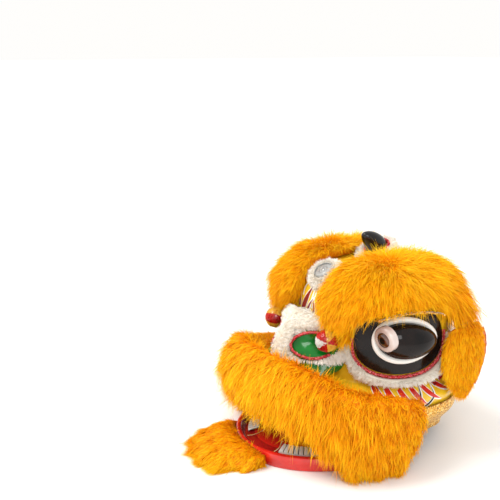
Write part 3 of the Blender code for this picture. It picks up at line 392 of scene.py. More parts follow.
def wood_material(name):
    made = material(name, (0.45, 0.25, 0.10), 0.5)
    stretch = texture(made, "ShaderNodeMapping", (160.0, 14.0, 160.0))
    grain = node(made, "ShaderNodeTexNoise")
    grain.inputs["Scale"].default_value = 1.0
    link(made, stretch.outputs["Vector"], grain.inputs["Vector"])
    tint(made, grain.outputs["Fac"], [(0.3, (0.30, 0.15, 0.05)), (0.7, (0.58, 0.36, 0.16))])
    bump(made, grain.outputs["Fac"], 0.0004)
    return made


# Both fur colours run from a dark root to a light tip: the dark root end is painted shade deep among the
# hairs.
FUR = fur_material("fur_gold", [(0.0, (0.60, 0.145, 0.0)), (0.30, (0.90, 0.32, 0.0)),
                                (0.62, (1.0, 0.50, 0.001)), (1.0, (1.0, 0.68, 0.015))], 0.0)
WHITE_FUR = fur_material("fur_white", [(0.0, (0.66, 0.58, 0.46)), (0.40, (0.90, 0.85, 0.76)),
                                       (1.0, (0.98, 0.96, 0.92))], 0.1)
YELLOW = paint("lacquer_yellow", (0.72, 0.42, 0.01), (0.90, 0.60, 0.03), 0.22)
LINING = paint("paper_lining", (0.42, 0.32, 0.20), (0.55, 0.44, 0.30), 0.8, 0.0008, 0.0)
BLACK = paint("lacquer_black", (0.004, 0.003, 0.003), (0.012, 0.007, 0.006), 0.10, 0.0001, 0.0, 0.22)
HORN_BLACK = paint("horn_black", (0.004, 0.004, 0.004), (0.010, 0.009, 0.009), 0.10, 0.0001, 0.0, 0.35)
WHITE = paint("paint_white", (0.80, 0.78, 0.72), (0.93, 0.92, 0.88), 0.3, 0.0002, 0.3)
RED = paint("paint_red", (0.50, 0.008, 0.006), (0.72, 0.022, 0.012), 0.2)
# A darker red for painted shade inside the mouth board's rim.
RED_PAINTED_SHADE = paint("paint_red_painted_shade", (0.24, 0.004, 0.004), (0.40, 0.010, 0.008), 0.25)
MAROON = paint("paint_maroon", (0.16, 0.006, 0.008), (0.26, 0.012, 0.012), 0.25)
GREEN = paint("paint_green", (0.001, 0.10, 0.008), (0.002, 0.21, 0.018), 0.12, 0.0002, 0.1, 0.35)
GOLD_PAINT = paint("paint_gold", (0.80, 0.42, 0.03), (0.95, 0.62, 0.08), 0.3)
CUP = paint("cup_pearl", (0.36, 0.25, 0.22), (0.62, 0.52, 0.48), 0.15)
IRIS = paint("iris_brown", (0.035, 0.010, 0.006), (0.11, 0.035, 0.018), 0.08, 0.0001, 1.0)
PINK = paint("paint_pink", (0.75, 0.20, 0.25), (0.90, 0.35, 0.38), 0.3)
SILVER = brushed("mirror_silver", (0.42, 0.42, 0.41), (0.62, 0.62, 0.60), 0.30)
CHROME = brushed("rim_metal", (0.30, 0.30, 0.30), (0.50, 0.50, 0.49), 0.34)
# The sequin cells differ in tone at random. The lightest, pink-white on the red braid and pale gold on the
# brocade, are painted glints.
BRAID = cell_material("sequin_red", [(0.0, (0.42, 0.004, 0.01)), (0.55, (0.82, 0.02, 0.035)),
                                     (1.0, (1.0, 0.35, 0.34))], 0.25, 620.0, 0.1, 0.0012)
BROCADE = cell_material("brocade_gold", [(0.0, (0.16, 0.04, 0.006)), (0.18, (0.55, 0.22, 0.02)),
                                         (0.6, (0.85, 0.45, 0.05)), (1.0, (1.0, 0.78, 0.30))],
                        0.35, 330.0, 0.45, 0.0010)
WOOD = wood_material("bamboo")


# Meshes
def add_object(name, data):
    made = bpy.data.objects.new(name, data)
    bpy.context.scene.collection.objects.link(made)
    return made


def shade_by_angle(data):
    data.shade_smooth()
    data.set_sharp_from_angle(angle=SHARP_ANGLE)


def make(name, points, faces, materials, body, replaced=(), face_materials=None, shade=True):
    data = bpy.data.meshes.new(name)
    data.from_pydata([tuple(float(v) for v in p) for p in points], [], faces)
    made = add_object(name, data)
    for one in materials:
        data.materials.append(one)
    if face_materials is not None:
        data.polygons.foreach_set("material_index", face_materials)
    if shade:
        shade_by_angle(data)
    data.update()
    finish_piece(made, body, replaced)
    return made


def solid(name, points, faces, materials, body, replaced, face_materials=None):
    """A closed piece, with its faces turned outwards."""
    made = make(name, points, faces, materials, body, replaced, face_materials)
    work = bmesh.new()
    work.from_mesh(made.data)
    bmesh.ops.recalc_face_normals(work, faces=work.faces)
    work.to_mesh(made.data)
    work.free()
    shade_by_angle(made.data)
    return made


def thicken(made, thickness, offset=0.0):
    wall = made.modifiers.new("wall", "SOLIDIFY")
    wall.thickness = thickness
    wall.offset = offset
    return wall


def finish_piece(made, body, replaced):
    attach(made, body)
    if replaced:
        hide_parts(*replaced)


def flip(points, side):
    return [(p[0] * side, p[1], p[2]) for p in points]


def turned_faces(faces, side):
    """Faces with their order turned over for the mirrored side, so that they still face outwards."""
    return faces if side > 0 else [tuple(reversed(f)) for f in faces]


def grid_faces(rows, columns, first, closed=False):
    wrap = columns if closed else columns - 1
    return [
        (first + r * columns + c, first + r * columns + (c + 1) % columns,
         first + (r + 1) * columns + (c + 1) % columns, first + (r + 1) * columns + c)
        for r in range(rows - 1) for c in range(wrap)
    ]


def end_faces(total, steps):
    """The two flat ends of a run of rings."""
    return [tuple(reversed(range(steps))), tuple(range(total - steps, total))]


def around(centre, aside, across, radius, steps):
    """Points evenly round a circle."""
    angles = [2.0 * math.pi * k / steps for k in range(steps)]
    return [centre + (aside * math.cos(angle) + across * math.sin(angle)) * radius for angle in angles]


def node_middle(name):
    low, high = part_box(name)
    return 0.5 * (np.array(low) + np.array(high))


def seated(points, node_name):
    """The points, moved so that their middle is the middle of a CAD node."""
    cloud = np.array(points)
    return cloud + (node_middle(node_name) - 0.5 * (cloud.min(axis=0) + cloud.max(axis=0)))


def mound(name, node_name, under, over, rings, columns, side, one, body):
    """A smooth closed mound in the place of a CAD node."""
    angles = [2.0 * math.pi * c / columns for c in range(columns)]
    points = [under(0.0, 0.0)] + [under(1.0, a) for a in angles]
    faces = [(0, 1 + (c + 1) % columns, 1 + c) for c in range(columns)]
    first = len(points)
    points.append(over(0.0, 0.0))
    for share in rings:
        points += [over(share, a) for a in angles]
    faces += [(first, first + 1 + c, first + 1 + (c + 1) % columns) for c in range(columns)]
    faces += grid_faces(len(rings), columns, first + 1, closed=True)
    high = len(points) - columns
    faces += [(1 + c, 1 + (c + 1) % columns, high + (c + 1) % columns, high + c) for c in range(columns)]
    solid(name, seated(flip(points, side), node_name), faces, [one], body, [node_name])


def turned(name, profile, origin, axis, ones, body, replaced, steps, bands=None):
    """A solid turned about an axis. bands gives the material of each step of the profile."""
    way = unit(axis)
    aside = unit(np.cross(way, (0.0, 1.0, 0.0) if abs(way[1]) < 0.9 else (1.0, 0.0, 0.0)))
    across = np.cross(way, aside)
    points = []
    for radius, height in profile:
        points += around(np.array(origin) + way * height, aside, across, max(radius, 1e-5), steps)
    faces = grid_faces(len(profile), steps, 0, closed=True) + end_faces(len(points), steps)
    bands = bands or [0] * (len(profile) - 1)
    kinds = [kind for kind in bands for _ in range(steps)] + [0, bands[-1]]
    solid(name, points, faces, ones, body, replaced, kinds)


def cord_frames(line):
    """Each point of a line with its direction and two more square to it, which turn little."""
    guide = np.array((0.0, 0.0, 1.0))
    for at, way in zip(line, units(np.gradient(line, axis=0))):
        aside = np.cross(way, guide)
        if np.linalg.norm(aside) < 0.1:
            aside = np.cross(way, (1.0, 0.0, 0.0))
        aside = unit(aside)
        guide = np.cross(way, aside)
        yield at, way, aside, guide


def tube_grid(path, radius, sides=8):
    """Points and faces of a round cord along a path."""
    points = []
    for at, _, aside, across in cord_frames(np.array(path)):
        points += around(at, aside, across, radius, sides)
    return points, grid_faces(len(path), sides, 0, closed=True) + end_faces(len(points), sides)


def resample(path, spacing):
    line = np.array(path)
    steps = np.linalg.norm(np.diff(line, axis=0), axis=1)
    along = np.concatenate(([0.0], np.cumsum(steps)))
    count = max(4, int(along[-1] / spacing))
    places = np.linspace(0.0, along[-1], count)
    return np.stack([np.interp(places, along, line[:, k]) for k in range(3)], axis=1)


def braid(name, node_name, path, radius, side, body, seed):
    """A sequin braid: a cord with rows of small tilted discs over it."""
    path = seated(flip(path, side), node_name)
    points, faces = tube_grid(resample(path, 0.003), radius * 0.72)
    rng = np.random.default_rng(seed)
    for at, way, aside, across in cord_frames(resample(path, 0.0019)):
        spin = rng.random() * 1.2
        for k in range(5):
            angle = spin + 2.0 * math.pi * k / 5
            out = aside * math.cos(angle) + across * math.sin(angle)
            tilt = unit(out + way * rng.normal(0.0, 0.35) + np.cross(out, way) * rng.normal(0.0, 0.35))
            flat = unit(np.cross(tilt, way))
            first = len(points)
            points += around(at + out * radius * 0.90, flat, np.cross(tilt, flat), SEQUIN_RADIUS, 6)
            faces.append(tuple(range(first, first + 6)))
    make(name, points, faces, [BRAID], body, [node_name], shade=False)


# Fur
def mesh_arrays(mesh):
    """A mesh's points and its triangles."""
    mesh.calc_loop_triangles()
    points = np.zeros(len(mesh.vertices) * 3)
    mesh.vertices.foreach_get("co", points)
    faces = np.zeros(len(mesh.loop_triangles) * 3, dtype=np.int64)
    mesh.loop_triangles.foreach_get("vertices", faces)
    return points.reshape(-1, 3), faces.reshape(-1, 3)


def welded(node_name):
    """A CAD node's points, triangles and smooth normals, with its doubled points joined."""
    points, faces = mesh_arrays(NODES[node_name].data)
    _, keep, back = np.unique(np.round(points, 6), axis=0, return_index=True, return_inverse=True)
    points = points[keep]
    faces = back.reshape(-1)[faces]
    cross = np.cross(points[faces[:, 1]] - points[faces[:, 0]], points[faces[:, 2]] - points[faces[:, 0]])
    normals = np.zeros_like(points)
    for k in range(3):
        np.add.at(normals, faces[:, k], cross)
    return points, faces, units(normals)


def scatter(points, faces, normals, count, rng, keep):
    """Random spots on the kept triangles, with their normals."""
    a, b, c = points[faces[:, 0]], points[faces[:, 1]], points[faces[:, 2]]
    cross = np.cross(b - a, c - a)
    area = np.linalg.norm(cross, axis=1)
    facing = cross / np.maximum(area, 1e-12)[:, None]
    weight = area * keep((a + b + c) / 3.0, facing)
    chosen = rng.choice(len(faces), size=count, p=weight / weight.sum())
    u, v = rng.random(count), rng.random(count)
    over = u + v > 1.0
    u[over], v[over] = 1.0 - u[over], 1.0 - v[over]
    w = 1.0 - u - v
    spots = a[chosen] * w[:, None] + b[chosen] * u[:, None] + c[chosen] * v[:, None]
    lean = (normals[faces[chosen, 0]] * w[:, None] + normals[faces[chosen, 1]] * u[:, None]
            + normals[faces[chosen, 2]] * v[:, None])
    return spots, units(lean)


def clumped(spots, ends, rng, size, pull):
    """Draws the ends of neighbouring hairs together into locks, and gives each lock's number."""
    seeds = rng.choice(len(spots), size=max(4, len(spots) // size), replace=False)
    tree = KDTree(len(seeds))
    for k, index in enumerate(seeds):
        tree.insert(Vector(spots[index]), k)
    tree.balance()
    group = np.array([tree.find(Vector(p))[1] for p in spots])
    leader = ends[seeds][group]
    return ends + (leader - ends) * pull[:, None], group


def hairs(spots, lean, flow, length, width, rng, lift, droop, wild, size, pull):
    """Tapered curved strips: points, triangles and the tone of each point. The tone carries painted shade,
    darkest at the root, and painted light on the highest hairs.
    """
    count = len(spots)
    flow = flow - lean * np.sum(flow * lean, axis=1)[:, None]
    flow = units(flow + rng.normal(0.0, wild * 0.5, (count, 3)))
    long = length * (0.65 + 0.6 * rng.random(count))
    start = units(lean * lift + flow * (1.0 - lift) + rng.normal(0.0, wild * 0.3, (count, 3)))
    late = units(start * 0.5 + flow + np.array((0.0, 0.0, -droop)) + rng.normal(0.0, wild * 0.4, (count, 3)))
    bend = spots + start * (long * 0.5)[:, None]
    ends = bend + late * (long * 0.5)[:, None]
    ends, group = clumped(spots, ends, rng, size, pull * (0.5 + 0.5 * rng.random(count)))
    bend, _ = clumped(spots, bend, np.random.default_rng(7), size, np.full(count, pull * 0.3))
    wide = width * (0.7 + 0.6 * rng.random(count))
    lock_tone = rng.normal(0.0, 0.10, group.max() + 1)[group] + rng.normal(0.0, 0.08, count)
    rows, tones = [], []
    spin = rng.normal(0.0, 0.7, count)
    for level in HAIR_LEVELS:
        at = (spots * (1.0 - level) ** 2 + bend * (2.0 * level * (1.0 - level)) + ends * level**2)
        way = units((bend - spots) * (1.0 - level) + (ends - bend) * level)
        flat = units(np.cross(way, lean))
        side = flat * np.cos(spin)[:, None] + np.cross(way, flat) * np.sin(spin)[:, None]
        half = 0.5 * wide * (1.0 - 0.85 * level**1.6)
        # Painted shade: the tone is darkest at the root and lightest at the tip.
        tone = np.clip(0.10 + 0.75 * level + lock_tone, 0.0, 1.0)
        if level < 1.0:
            rows += [at - side * half[:, None], at + side * half[:, None]]
            tones += [tone, tone]
        else:
            rows.append(at)
            tones.append(tone)
    per = len(rows)
    points = np.stack(rows, axis=1).reshape(-1, 3)
    shade = np.stack(tones, axis=1).reshape(-1)
    pattern = []
    for k in range(len(HAIR_LEVELS) - 2):
        low = 2 * k
        pattern += [(low, low + 1, low + 3), (low, low + 3, low + 2)]
    pattern.append((per - 3, per - 2, per - 1))
    faces = (np.arange(count) * per)[:, None, None] + np.array(pattern)[None]
    drift = np.sin(21.0 * points[:, 0] + 0.7) + np.sin(17.0 * points[:, 1] - 0.4)
    drift += np.sin(25.0 * points[:, 2] + 2.1)
    # Painted light: hairs higher than 0.32 m are lighter, as if lit from above.
    painted_top_light = 0.14 * np.clip((points[:, 2] - 0.32) / 0.10, 0.0, 1.0)
    shade = np.clip(shade + 0.05 * drift + painted_top_light, 0.0, 1.0)
    low = np.array(CAD_BOX[0]) - (*HAIR_PAST_BOX[:2], 0.0)
    high = np.array(CAD_BOX[1]) + HAIR_PAST_BOX
    points = np.clip(points, low, high)
    points[:, 2] = np.maximum(points[:, 2], 0.0006)
    return points, faces.reshape(-1, 3), shade


def fast_mesh(name, points, faces, tones):
    data = bpy.data.meshes.new(name)
    data.vertices.add(len(points))
    data.vertices.foreach_set("co", points.astype(np.float32).reshape(-1))
    data.loops.add(len(faces) * 3)
    data.loops.foreach_set("vertex_index", faces.astype(np.int32).reshape(-1))
    data.polygons.add(len(faces))
    data.polygons.foreach_set("loop_start", np.arange(0, len(faces) * 3, 3, dtype=np.int32))
    data.update(calc_edges=True)
    layer = data.attributes.new("tone", "FLOAT", "POINT")
    layer.data.foreach_set("value", tones.astype(np.float32))
    data.validate()
    data.shade_smooth()
    return data


def pile(node_name, body, one, count, length, width, flow, keep, seed, lift=0.35, droop=0.3, wild=0.35,
         size=12, pull=0.6, stretch=None, guard=0.0, extra=None):
    """A fur piece in the place of a CAD node: its backing with the hairs that grow from it.

    stretch gives each spot's share of the length, guard the share of hairs that are much longer, and extra
    more spots with their directions, on another surface.
    """
    rng = np.random.default_rng(seed)
    points, faces, normals = welded(node_name)
    count = int(count * DENSITY)
    spots, lean = scatter(points, faces, normals, count, rng, keep)
    way = flow(spots, lean)
    if extra is not None:
        spots, lean, way = (np.concatenate([a, b]) for a, b in zip((spots, lean, way), extra))
    reach = np.full(len(spots), length)
    if stretch is not None:
        reach = reach * stretch(spots)
    reach = np.where(rng.random(len(spots)) < guard, reach * 1.6, reach)
    grown, strips, tones = hairs(spots - lean * 0.002, lean, way, reach, width / DENSITY**0.5, rng, lift,
                                 droop, wild, size, pull)
    base = points - normals * 0.0010
    all_points = np.concatenate([base, grown])
    all_faces = np.concatenate([faces, strips + len(base)])
    # The backing under the hairs takes the dark root tone: painted shade.
    all_tones = np.concatenate([np.full(len(base), 0.12), tones])
    data = fast_mesh(node_name + "_pile", all_points, all_faces, all_tones)
    made = add_object(node_name + "_pile", data)
    data.materials.append(one)
    finish_piece(made, body, [node_name])


SKULL_CORE = np.array((0.0, SKULL_MID_Y, CORE_Z))


def off_skull(spots, facing):
    """Keeps the triangles that don't face the skull."""
    return (np.sum(facing * units(spots - SKULL_CORE), axis=1) > -0.15).astype(float)


def everywhere(spots, facing):
    return np.ones(len(spots))


def brow_flow(side):
    middle = np.array((side * 0.125, 0.02 + SLIDE_Y, 0.40))

    def flow(spots, lean):
        away = spots - middle
        away[:, 2] *= 0.7
        inner = np.clip((0.085 - side * spots[:, 0]) / 0.04, 0.0, 1.0)
        rear = np.clip((spots[:, 1] - 0.150) / 0.06, 0.0, 1.0)
        return (units(away) * (1.0 - 0.6 * inner)[:, None] + np.array((side * 0.35, -0.15, -0.55))
                + inner[:, None] * np.array((side * 0.2, -0.2, -0.5))
                + rear[:, None] * np.array((0.0, -0.35, -1.3)))

    return flow


def brow_reach(side):
    """Shorter hair by the forehead, and long hair that falls behind the eye."""
    def reach(spots):
        inner = np.clip((0.080 - side * spots[:, 0]) / 0.035, 0.0, 1.0)
        rear = np.clip((spots[:, 1] - 0.150) / 0.05, 0.0, 1.0)
        rear *= np.clip((0.39 - spots[:, 2]) / 0.05, 0.0, 1.0)
        return 1.0 - 0.50 * inner + 1.3 * rear

    return reach


def lip_crest(turn):
    """Height of the lip fur's crest at an angle from the front, in degrees."""
    return np.interp(turn, (0, 14, 26, 35, 43, 56, 65, 77),
                     (0.262, 0.260, 0.244, 0.222, 0.202, 0.188, 0.180, 0.156))


def lip_flow(spots, lean):
    out = spots - SKULL_CORE
    out[:, 2] = 0.0
    out = units(out)
    crest = lip_crest(np.abs(np.degrees(np.arctan2(out[:, 0], -out[:, 1]))))
    rise = np.clip((spots[:, 2] - crest + 0.035) / 0.035, 0.0, 1.0)
    down = np.array((0.0, 0.0, -1.0)) * (1.0 - 1.1 * rise)[:, None]
    return down + out * (0.45 + 0.5 * rise)[:, None] + np.array((0.0, -0.10, 0.0))


def lip_reach(spots):
    """Shorter hair at the two ends, beside the painted cheeks."""
    turn = np.abs(np.degrees(np.arctan2(spots[:, 0], SKULL_MID_Y - spots[:, 1])))
    crest = np.clip((spots[:, 2] - lip_crest(turn) + 0.030) / 0.03, 0.0, 1.0)
    edge = np.hypot(0.24 * np.sin(np.radians(turn)), 0.31 * np.cos(np.radians(turn)))
    inner = np.hypot(spots[:, 0], spots[:, 1] - SKULL_MID_Y) / edge
    under = np.clip((0.120 - spots[:, 2]) / 0.03, 0.0, 1.0) * (inner < 1.08)
    return (1.0 - 0.5 * np.clip((turn - 52.0) / 14.0, 0.0, 1.0)) * (1.0 - 0.4 * crest) * (1.0 - 0.6 * under)


def beard_reach(spots):
    return np.where(over_board(spots, 0.070), 0.5, 1.0)


def over_board(spots, margin):
    """Which spots lie over the mouth board, or within a margin of its outline."""
    across = spots[:, 0] / (BOARD_HALF_WIDTH + margin)
    fore = (spots[:, 1] - BOARD_MID_Y) / (BOARD_FRONT_REACH + margin)
    return across**2 + fore**2 < 1.0


def beard_keep(spots, facing):
    return np.where(over_board(spots, 0.012) & (spots[:, 2] > 0.012), 0.0, 1.0)


def beard_flow(spots, lean):
    away = spots - np.array((0.0, BOARD_MID_Y, 0.06))
    away[:, 2] = 0.0
    return units(away) + np.array((-0.10, -0.15, -0.45))


def ear_ways():
    """The left ear's directions along its width and down its length."""
    turn, flare = math.radians(7.0), math.radians(12.0)
    along = np.array((-math.sin(turn), math.cos(turn), 0.0))
    out = np.array((math.cos(turn), math.sin(turn), 0.0))
    return along, unit(out * math.sin(flare) + np.array((0.0, 0.0, -1.0)) * math.cos(flare))


def ear_flow(side):
    def flow(spots, lean):
        return np.tile(np.array((side * 0.10, -0.45, -0.9)), (len(spots), 1))

    return flow


def ear_half(share):
    """The ear's half width at a share of its length."""
    return EAR_HALF_WIDTH * np.interp(share * 8.0, range(9), EAR_WIDTHS)


def ear_margin(spots, side):
    """How far each spot lies inside the ear's rear edge, where the red rim is."""
    along, down = ear_ways()
    from_hinge = (spots - EAR_HINGE * (side, 1.0, 1.0)) * (side, 1.0, 1.0)
    share = np.clip((from_hinge @ down - EAR_DROP) / EAR_LENGTH, 0.0, 1.0)
    return ear_half(share) - (from_hinge @ along - EAR_FORWARD + EAR_SWEEP * share)


def ear_keep(side):
    def keep(spots, facing):
        return (ear_margin(spots, side) > 0.011).astype(float)

    return keep


def ear_reach(side):
    def reach(spots):
        return np.clip(ear_margin(spots, side) / 0.035, 0.45, 1.0)

    return reach


def eye_fur_flow(side):
    middle = eye_point(0.0, 0.02)
    middle = np.array((middle[0] * side, middle[1], middle[2]))

    def flow(spots, lean):
        return units(spots - middle)

    return flow


def nose_fur_flow(spots, lean):
    aside = np.sign(spots[:, 0]) * np.minimum(1.0, np.abs(spots[:, 0]) / 0.012)
    rise = np.clip((spots[:, 2] - 0.27) / 0.03, -0.6, 1.0)
    return np.stack([aside, np.zeros(len(spots)), rise * 0.9], axis=1)


def nose_band():
    """Roots of the short fur over the nose, round each nostril and above the green lobes."""
    mesh = bpy.data.objects["nose_lacquer"].data
    points, faces = mesh_arrays(mesh)
    normals = np.zeros(len(mesh.vertices) * 3)
    mesh.vertices.foreach_get("normal", normals)

    def round_nostril(spots):
        across = (np.abs(spots[:, 0]) - NOSTRIL_X) / (NOSTRIL_HALF_WIDTH + 0.005)
        rise = (spots[:, 2] - NOSTRIL_Z) / (NOSTRIL_HALF_HEIGHT + 0.005)
        return across**2 + rise**2

    def keep(spots, facing):
        bare = (round_nostril(spots) < 1.0) | (spots[:, 2] < NOSE_BAND_Z) | (facing[:, 1] > 0.1)
        return np.where(bare, 0.0, 1.0)

    rng = np.random.default_rng(27)
    spots, lean = scatter(points, faces, normals.reshape(-1, 3), int(12000 * DENSITY), rng, keep)
    away = np.stack([np.abs(spots[:, 0]) - NOSTRIL_X, np.zeros(len(spots)), spots[:, 2] - NOSTRIL_Z], axis=1)
    away[:, 0] *= np.sign(spots[:, 0])
    return spots + lean * NOSE_BAND_RAISE, lean, units(away) + np.array((0.0, 0.0, -0.25))


def ring_flow(node_name, raise_by=0.0):
    middle = node_middle(node_name)

    def flow(spots, lean):
        return units(spots - middle) + np.array((0.0, 0.0, raise_by))

    return flow


def build_fur():
    for side, word in SIDES:
        pile(f"brow_fur_{word}", "head", FUR, 30000, 0.038, 0.0013, brow_flow(side), off_skull, 11,
             0.42, 0.35, 0.6, 14, 0.5, brow_reach(side), 0.12)
        pile(f"ear_{word}", f"{word}_ear", FUR, 12000, 0.024, 0.0012, ear_flow(side), ear_keep(side),
             12, 0.30, 0.3, 0.4, stretch=ear_reach(side))
        pile(f"eye_fur_{word}", "head", WHITE_FUR, 8500, 0.013, 0.0009, eye_fur_flow(side),
             off_skull, 13, 0.35, 0.1, 0.4)
    pile("lip_fur", "head", FUR, 54000, 0.042, 0.0014, lip_flow, everywhere, 21, 0.38, 0.5, 0.65, 14,
         0.5, lip_reach, 0.18)
    pile("beard_fur", "jaw", FUR, 17000, 0.031, 0.0013, beard_flow, beard_keep, 22, 0.22, 0.45, 0.5,
         14, 0.5, beard_reach, 0.15)
    pile("nose_fur", "head", WHITE_FUR, 8000, 0.011, 0.0013, nose_fur_flow, everywhere, 23, 0.36,
         0.05, 0.45, extra=nose_band())
    pile("horn_fur", "head", WHITE_FUR, 7000, 0.013, 0.0009, ring_flow("horn_fur", 0.3),
         off_skull, 24, 0.4, 0.2, 0.45)
    pile("mirror_fur", "head", WHITE_FUR, 6000, 0.013, 0.0009, ring_flow("mirror_fur"),
         off_skull, 25, 0.35, 0.1, 0.45)


# Shell and cloth
def shell_edge(turn):
    off_front = abs(math.degrees(math.atan2(math.sin(turn), math.cos(turn))))
    return SHELL_EDGE_REAR_Z + (SHELL_EDGE_FRONT_Z - SHELL_EDGE_REAR_Z) * smooth((72.0 - off_front) / 25.0)


def build_shell():
    columns = 150
    heights = np.concatenate(([0.0], np.linspace(0.150, 0.19, 14), np.linspace(0.20, 0.38, 26), SHOULDER_Z
                              + DOME_RISE * np.array((0.86, 0.895, 0.925, 0.95, 0.97, 0.983, 0.992, 0.998))))
    points = []
    for z in heights:
        for c in range(columns):
            turn = 2.0 * math.pi * c / columns
            points.append(skull(turn, max(z, shell_edge(turn))))
    faces = grid_faces(len(heights), columns, 0, closed=True)
    last = (len(heights) - 1) * columns
    points.append(np.array((0.0, SKULL_MID_Y, SHOULDER_Z + DOME_RISE)))
    faces += [(last + c, last + (c + 1) % columns, len(points) - 1) for c in range(columns)]
    shell = solid("head_shell_paper", points, faces, [YELLOW, LINING], "head", ["head_shell"])
    wall = thicken(shell, SHELL_WALL, -1.0)
    wall.material_offset = 1
    wall.material_offset_rim = 0


def ribbon_grid(centre, widths, place, lift, across=5):
    """Points and faces of a flat painted stroke laid on a surface."""
    line = np.array(centre)
    ways = units(np.gradient(line, axis=0))
    points = []
    for (u, v), (du, dv), width in zip(line, ways, widths):
        for k in range(across):
            off = width * (k / (across - 1) - 0.5)
            points.append(place(u - dv * off, v + du * off, lift))
    return points, grid_faces(len(line), across, 0)


def flame_line(base, way, length, curl, count=14):
    """A stroke's centre line that turns steadily as it goes."""
    at, heading = np.array(base, dtype=float), way
    line = []
    for _ in range(count):
        line.append(at.copy())
        at = at + np.array((math.cos(heading), math.sin(heading))) * length / (count - 1)
        heading += curl / (count - 1)
    return line


def flames(name, strokes, place, side, body):
    """Flame tongues with outlines, in one mesh. A stroke is base, way, length, curl, width and colour."""
    points, faces, kinds = [], [], []
    for base, way, length, curl, width, kind in strokes:
        for layer, extra in ((0, 0.0034), (kind, 0.0)):
            line = flame_line(base, way, length + extra * 1.2, curl)
            share = np.linspace(0.0, 1.0, len(line))
            wide = (width * (1.0 - share**1.7) * (0.75 + 0.25 * np.sin(math.pi * share))) + extra
            wide[-1] = 0.0004
            lift = 0.0005 if layer == 0 else 0.0009
            more, cells = ribbon_grid(line, wide, place, lift)
            faces += [tuple(len(points) + i for i in f) for f in cells]
            kinds += [layer] * len(cells)
            points += more
    return make(name, flip(points, side), turned_faces(faces, side), [WHITE, RED, MAROON, BLACK, GOLD_PAINT],
                body, face_materials=kinds)


def build_paint():
    cheek = [
        ((-0.075, -0.098), -1.05, 0.050, 0.9, 0.013, 1),
        ((-0.048, -0.103), -1.15, 0.046, 0.8, 0.013, 1),
        ((-0.020, -0.106), -1.20, 0.046, 0.7, 0.013, 1),
        ((0.008, -0.106), -1.20, 0.048, 0.7, 0.013, 1),
        ((0.036, -0.104), -1.10, 0.050, 0.8, 0.013, 1),
        ((0.064, -0.096), -0.95, 0.052, 0.8, 0.013, 1),
        ((0.092, -0.078), -0.70, 0.050, 0.9, 0.012, 1),
        ((0.000, -0.138), 0.30, 0.050, 1.3, 0.006, 3),
        ((0.030, -0.146), 0.30, 0.050, 1.3, 0.006, 3),
    ]
    for side, word in SIDES:
        flames(f"cheek_flames_{word}", cheek, eye_point, side, "head")

    def front(x, z, lift):
        at = nose_seat(x, z)
        return at + normal_at(at) * lift

    brow = [
        ((0.030, 0.322), 1.75, 0.060, 0.25, 0.019, 2),
        ((0.046, 0.326), 1.45, 0.036, -0.5, 0.008, 2),
        ((0.012, 0.322), 1.75, 0.034, 0.5, 0.008, 2),
        ((0.040, 0.352), 1.10, 0.042, 1.7, 0.0022, 0),
        ((0.004, 0.330), 1.55, 0.070, 0.1, 0.0016, 0),
    ]
    for side, word in SIDES:
        flames(f"forehead_flames_{word}", brow, front, side, "head")

    def back(a, z, lift):
        at = skull(math.pi + a / 0.19, z)
        return at + normal_at(at) * lift

    rear = []
    for k in range(5):
        place = 0.035 + 0.055 * k
        rear.append(((place, 0.176), 1.35, 0.085, 0.8, 0.026, 1))
        rear.append(((-place, 0.176), 1.79, 0.085, -0.8, 0.026, 1))
        rear.append(((place + 0.028, 0.170), 1.45, 0.045, 0.9, 0.012, 2))
        rear.append(((-place - 0.028, 0.170), 1.69, 0.045, -0.9, 0.012, 2))
    for k in range(3):
        rear.append(((0.0, 0.190 + 0.062 * k), 1.57, 0.056 - 0.006 * k, 0.0, 0.030 - 0.005 * k, 1))
    for k in range(3):
        rear.append(((0.030 + 0.014 * k, 0.275 + 0.022 * k), 1.1, 0.060, 1.6, 0.010, 2))
        rear.append(((-0.030 - 0.014 * k, 0.275 + 0.022 * k), 2.04, 0.060, -1.6, 0.010, 2))
    flames("rear_flames", rear, back, 1, "head")


def build_cloth():
    columns, rows = 121, 22
    start, end = math.radians(80.0), math.radians(280.0)
    points = []
    for r in range(rows):
        share = r / (rows - 1)
        z = CLOTH_TOP_Z + (CLOTH_BOTTOM_Z - CLOTH_TOP_Z) * share
        tuck = CLOTH_TUCK * smooth((SHELL_EDGE_REAR_Z - 0.004 - z) / 0.060)
        for c in range(columns):
            turn = start + (end - start) * c / (columns - 1)
            at = skull(turn, SHELL_EDGE_REAR_Z)
            out = unit((math.sin(turn), -math.cos(turn), 0.0))
            fold = 0.0016 * smooth(share * 1.6) * math.sin(c * 0.42 + 0.8 * math.sin(c * 0.11))
            points.append(np.array((at[0], at[1], z)) + out * (0.0044 - tuck + fold))
    cloth = make("neck_cloth_brocade", seated(points, "neck_cloth"), grid_faces(rows, columns, 0), [BROCADE],
                 "head", ["neck_cloth"])
    thicken(cloth, CLOTH_WALL)


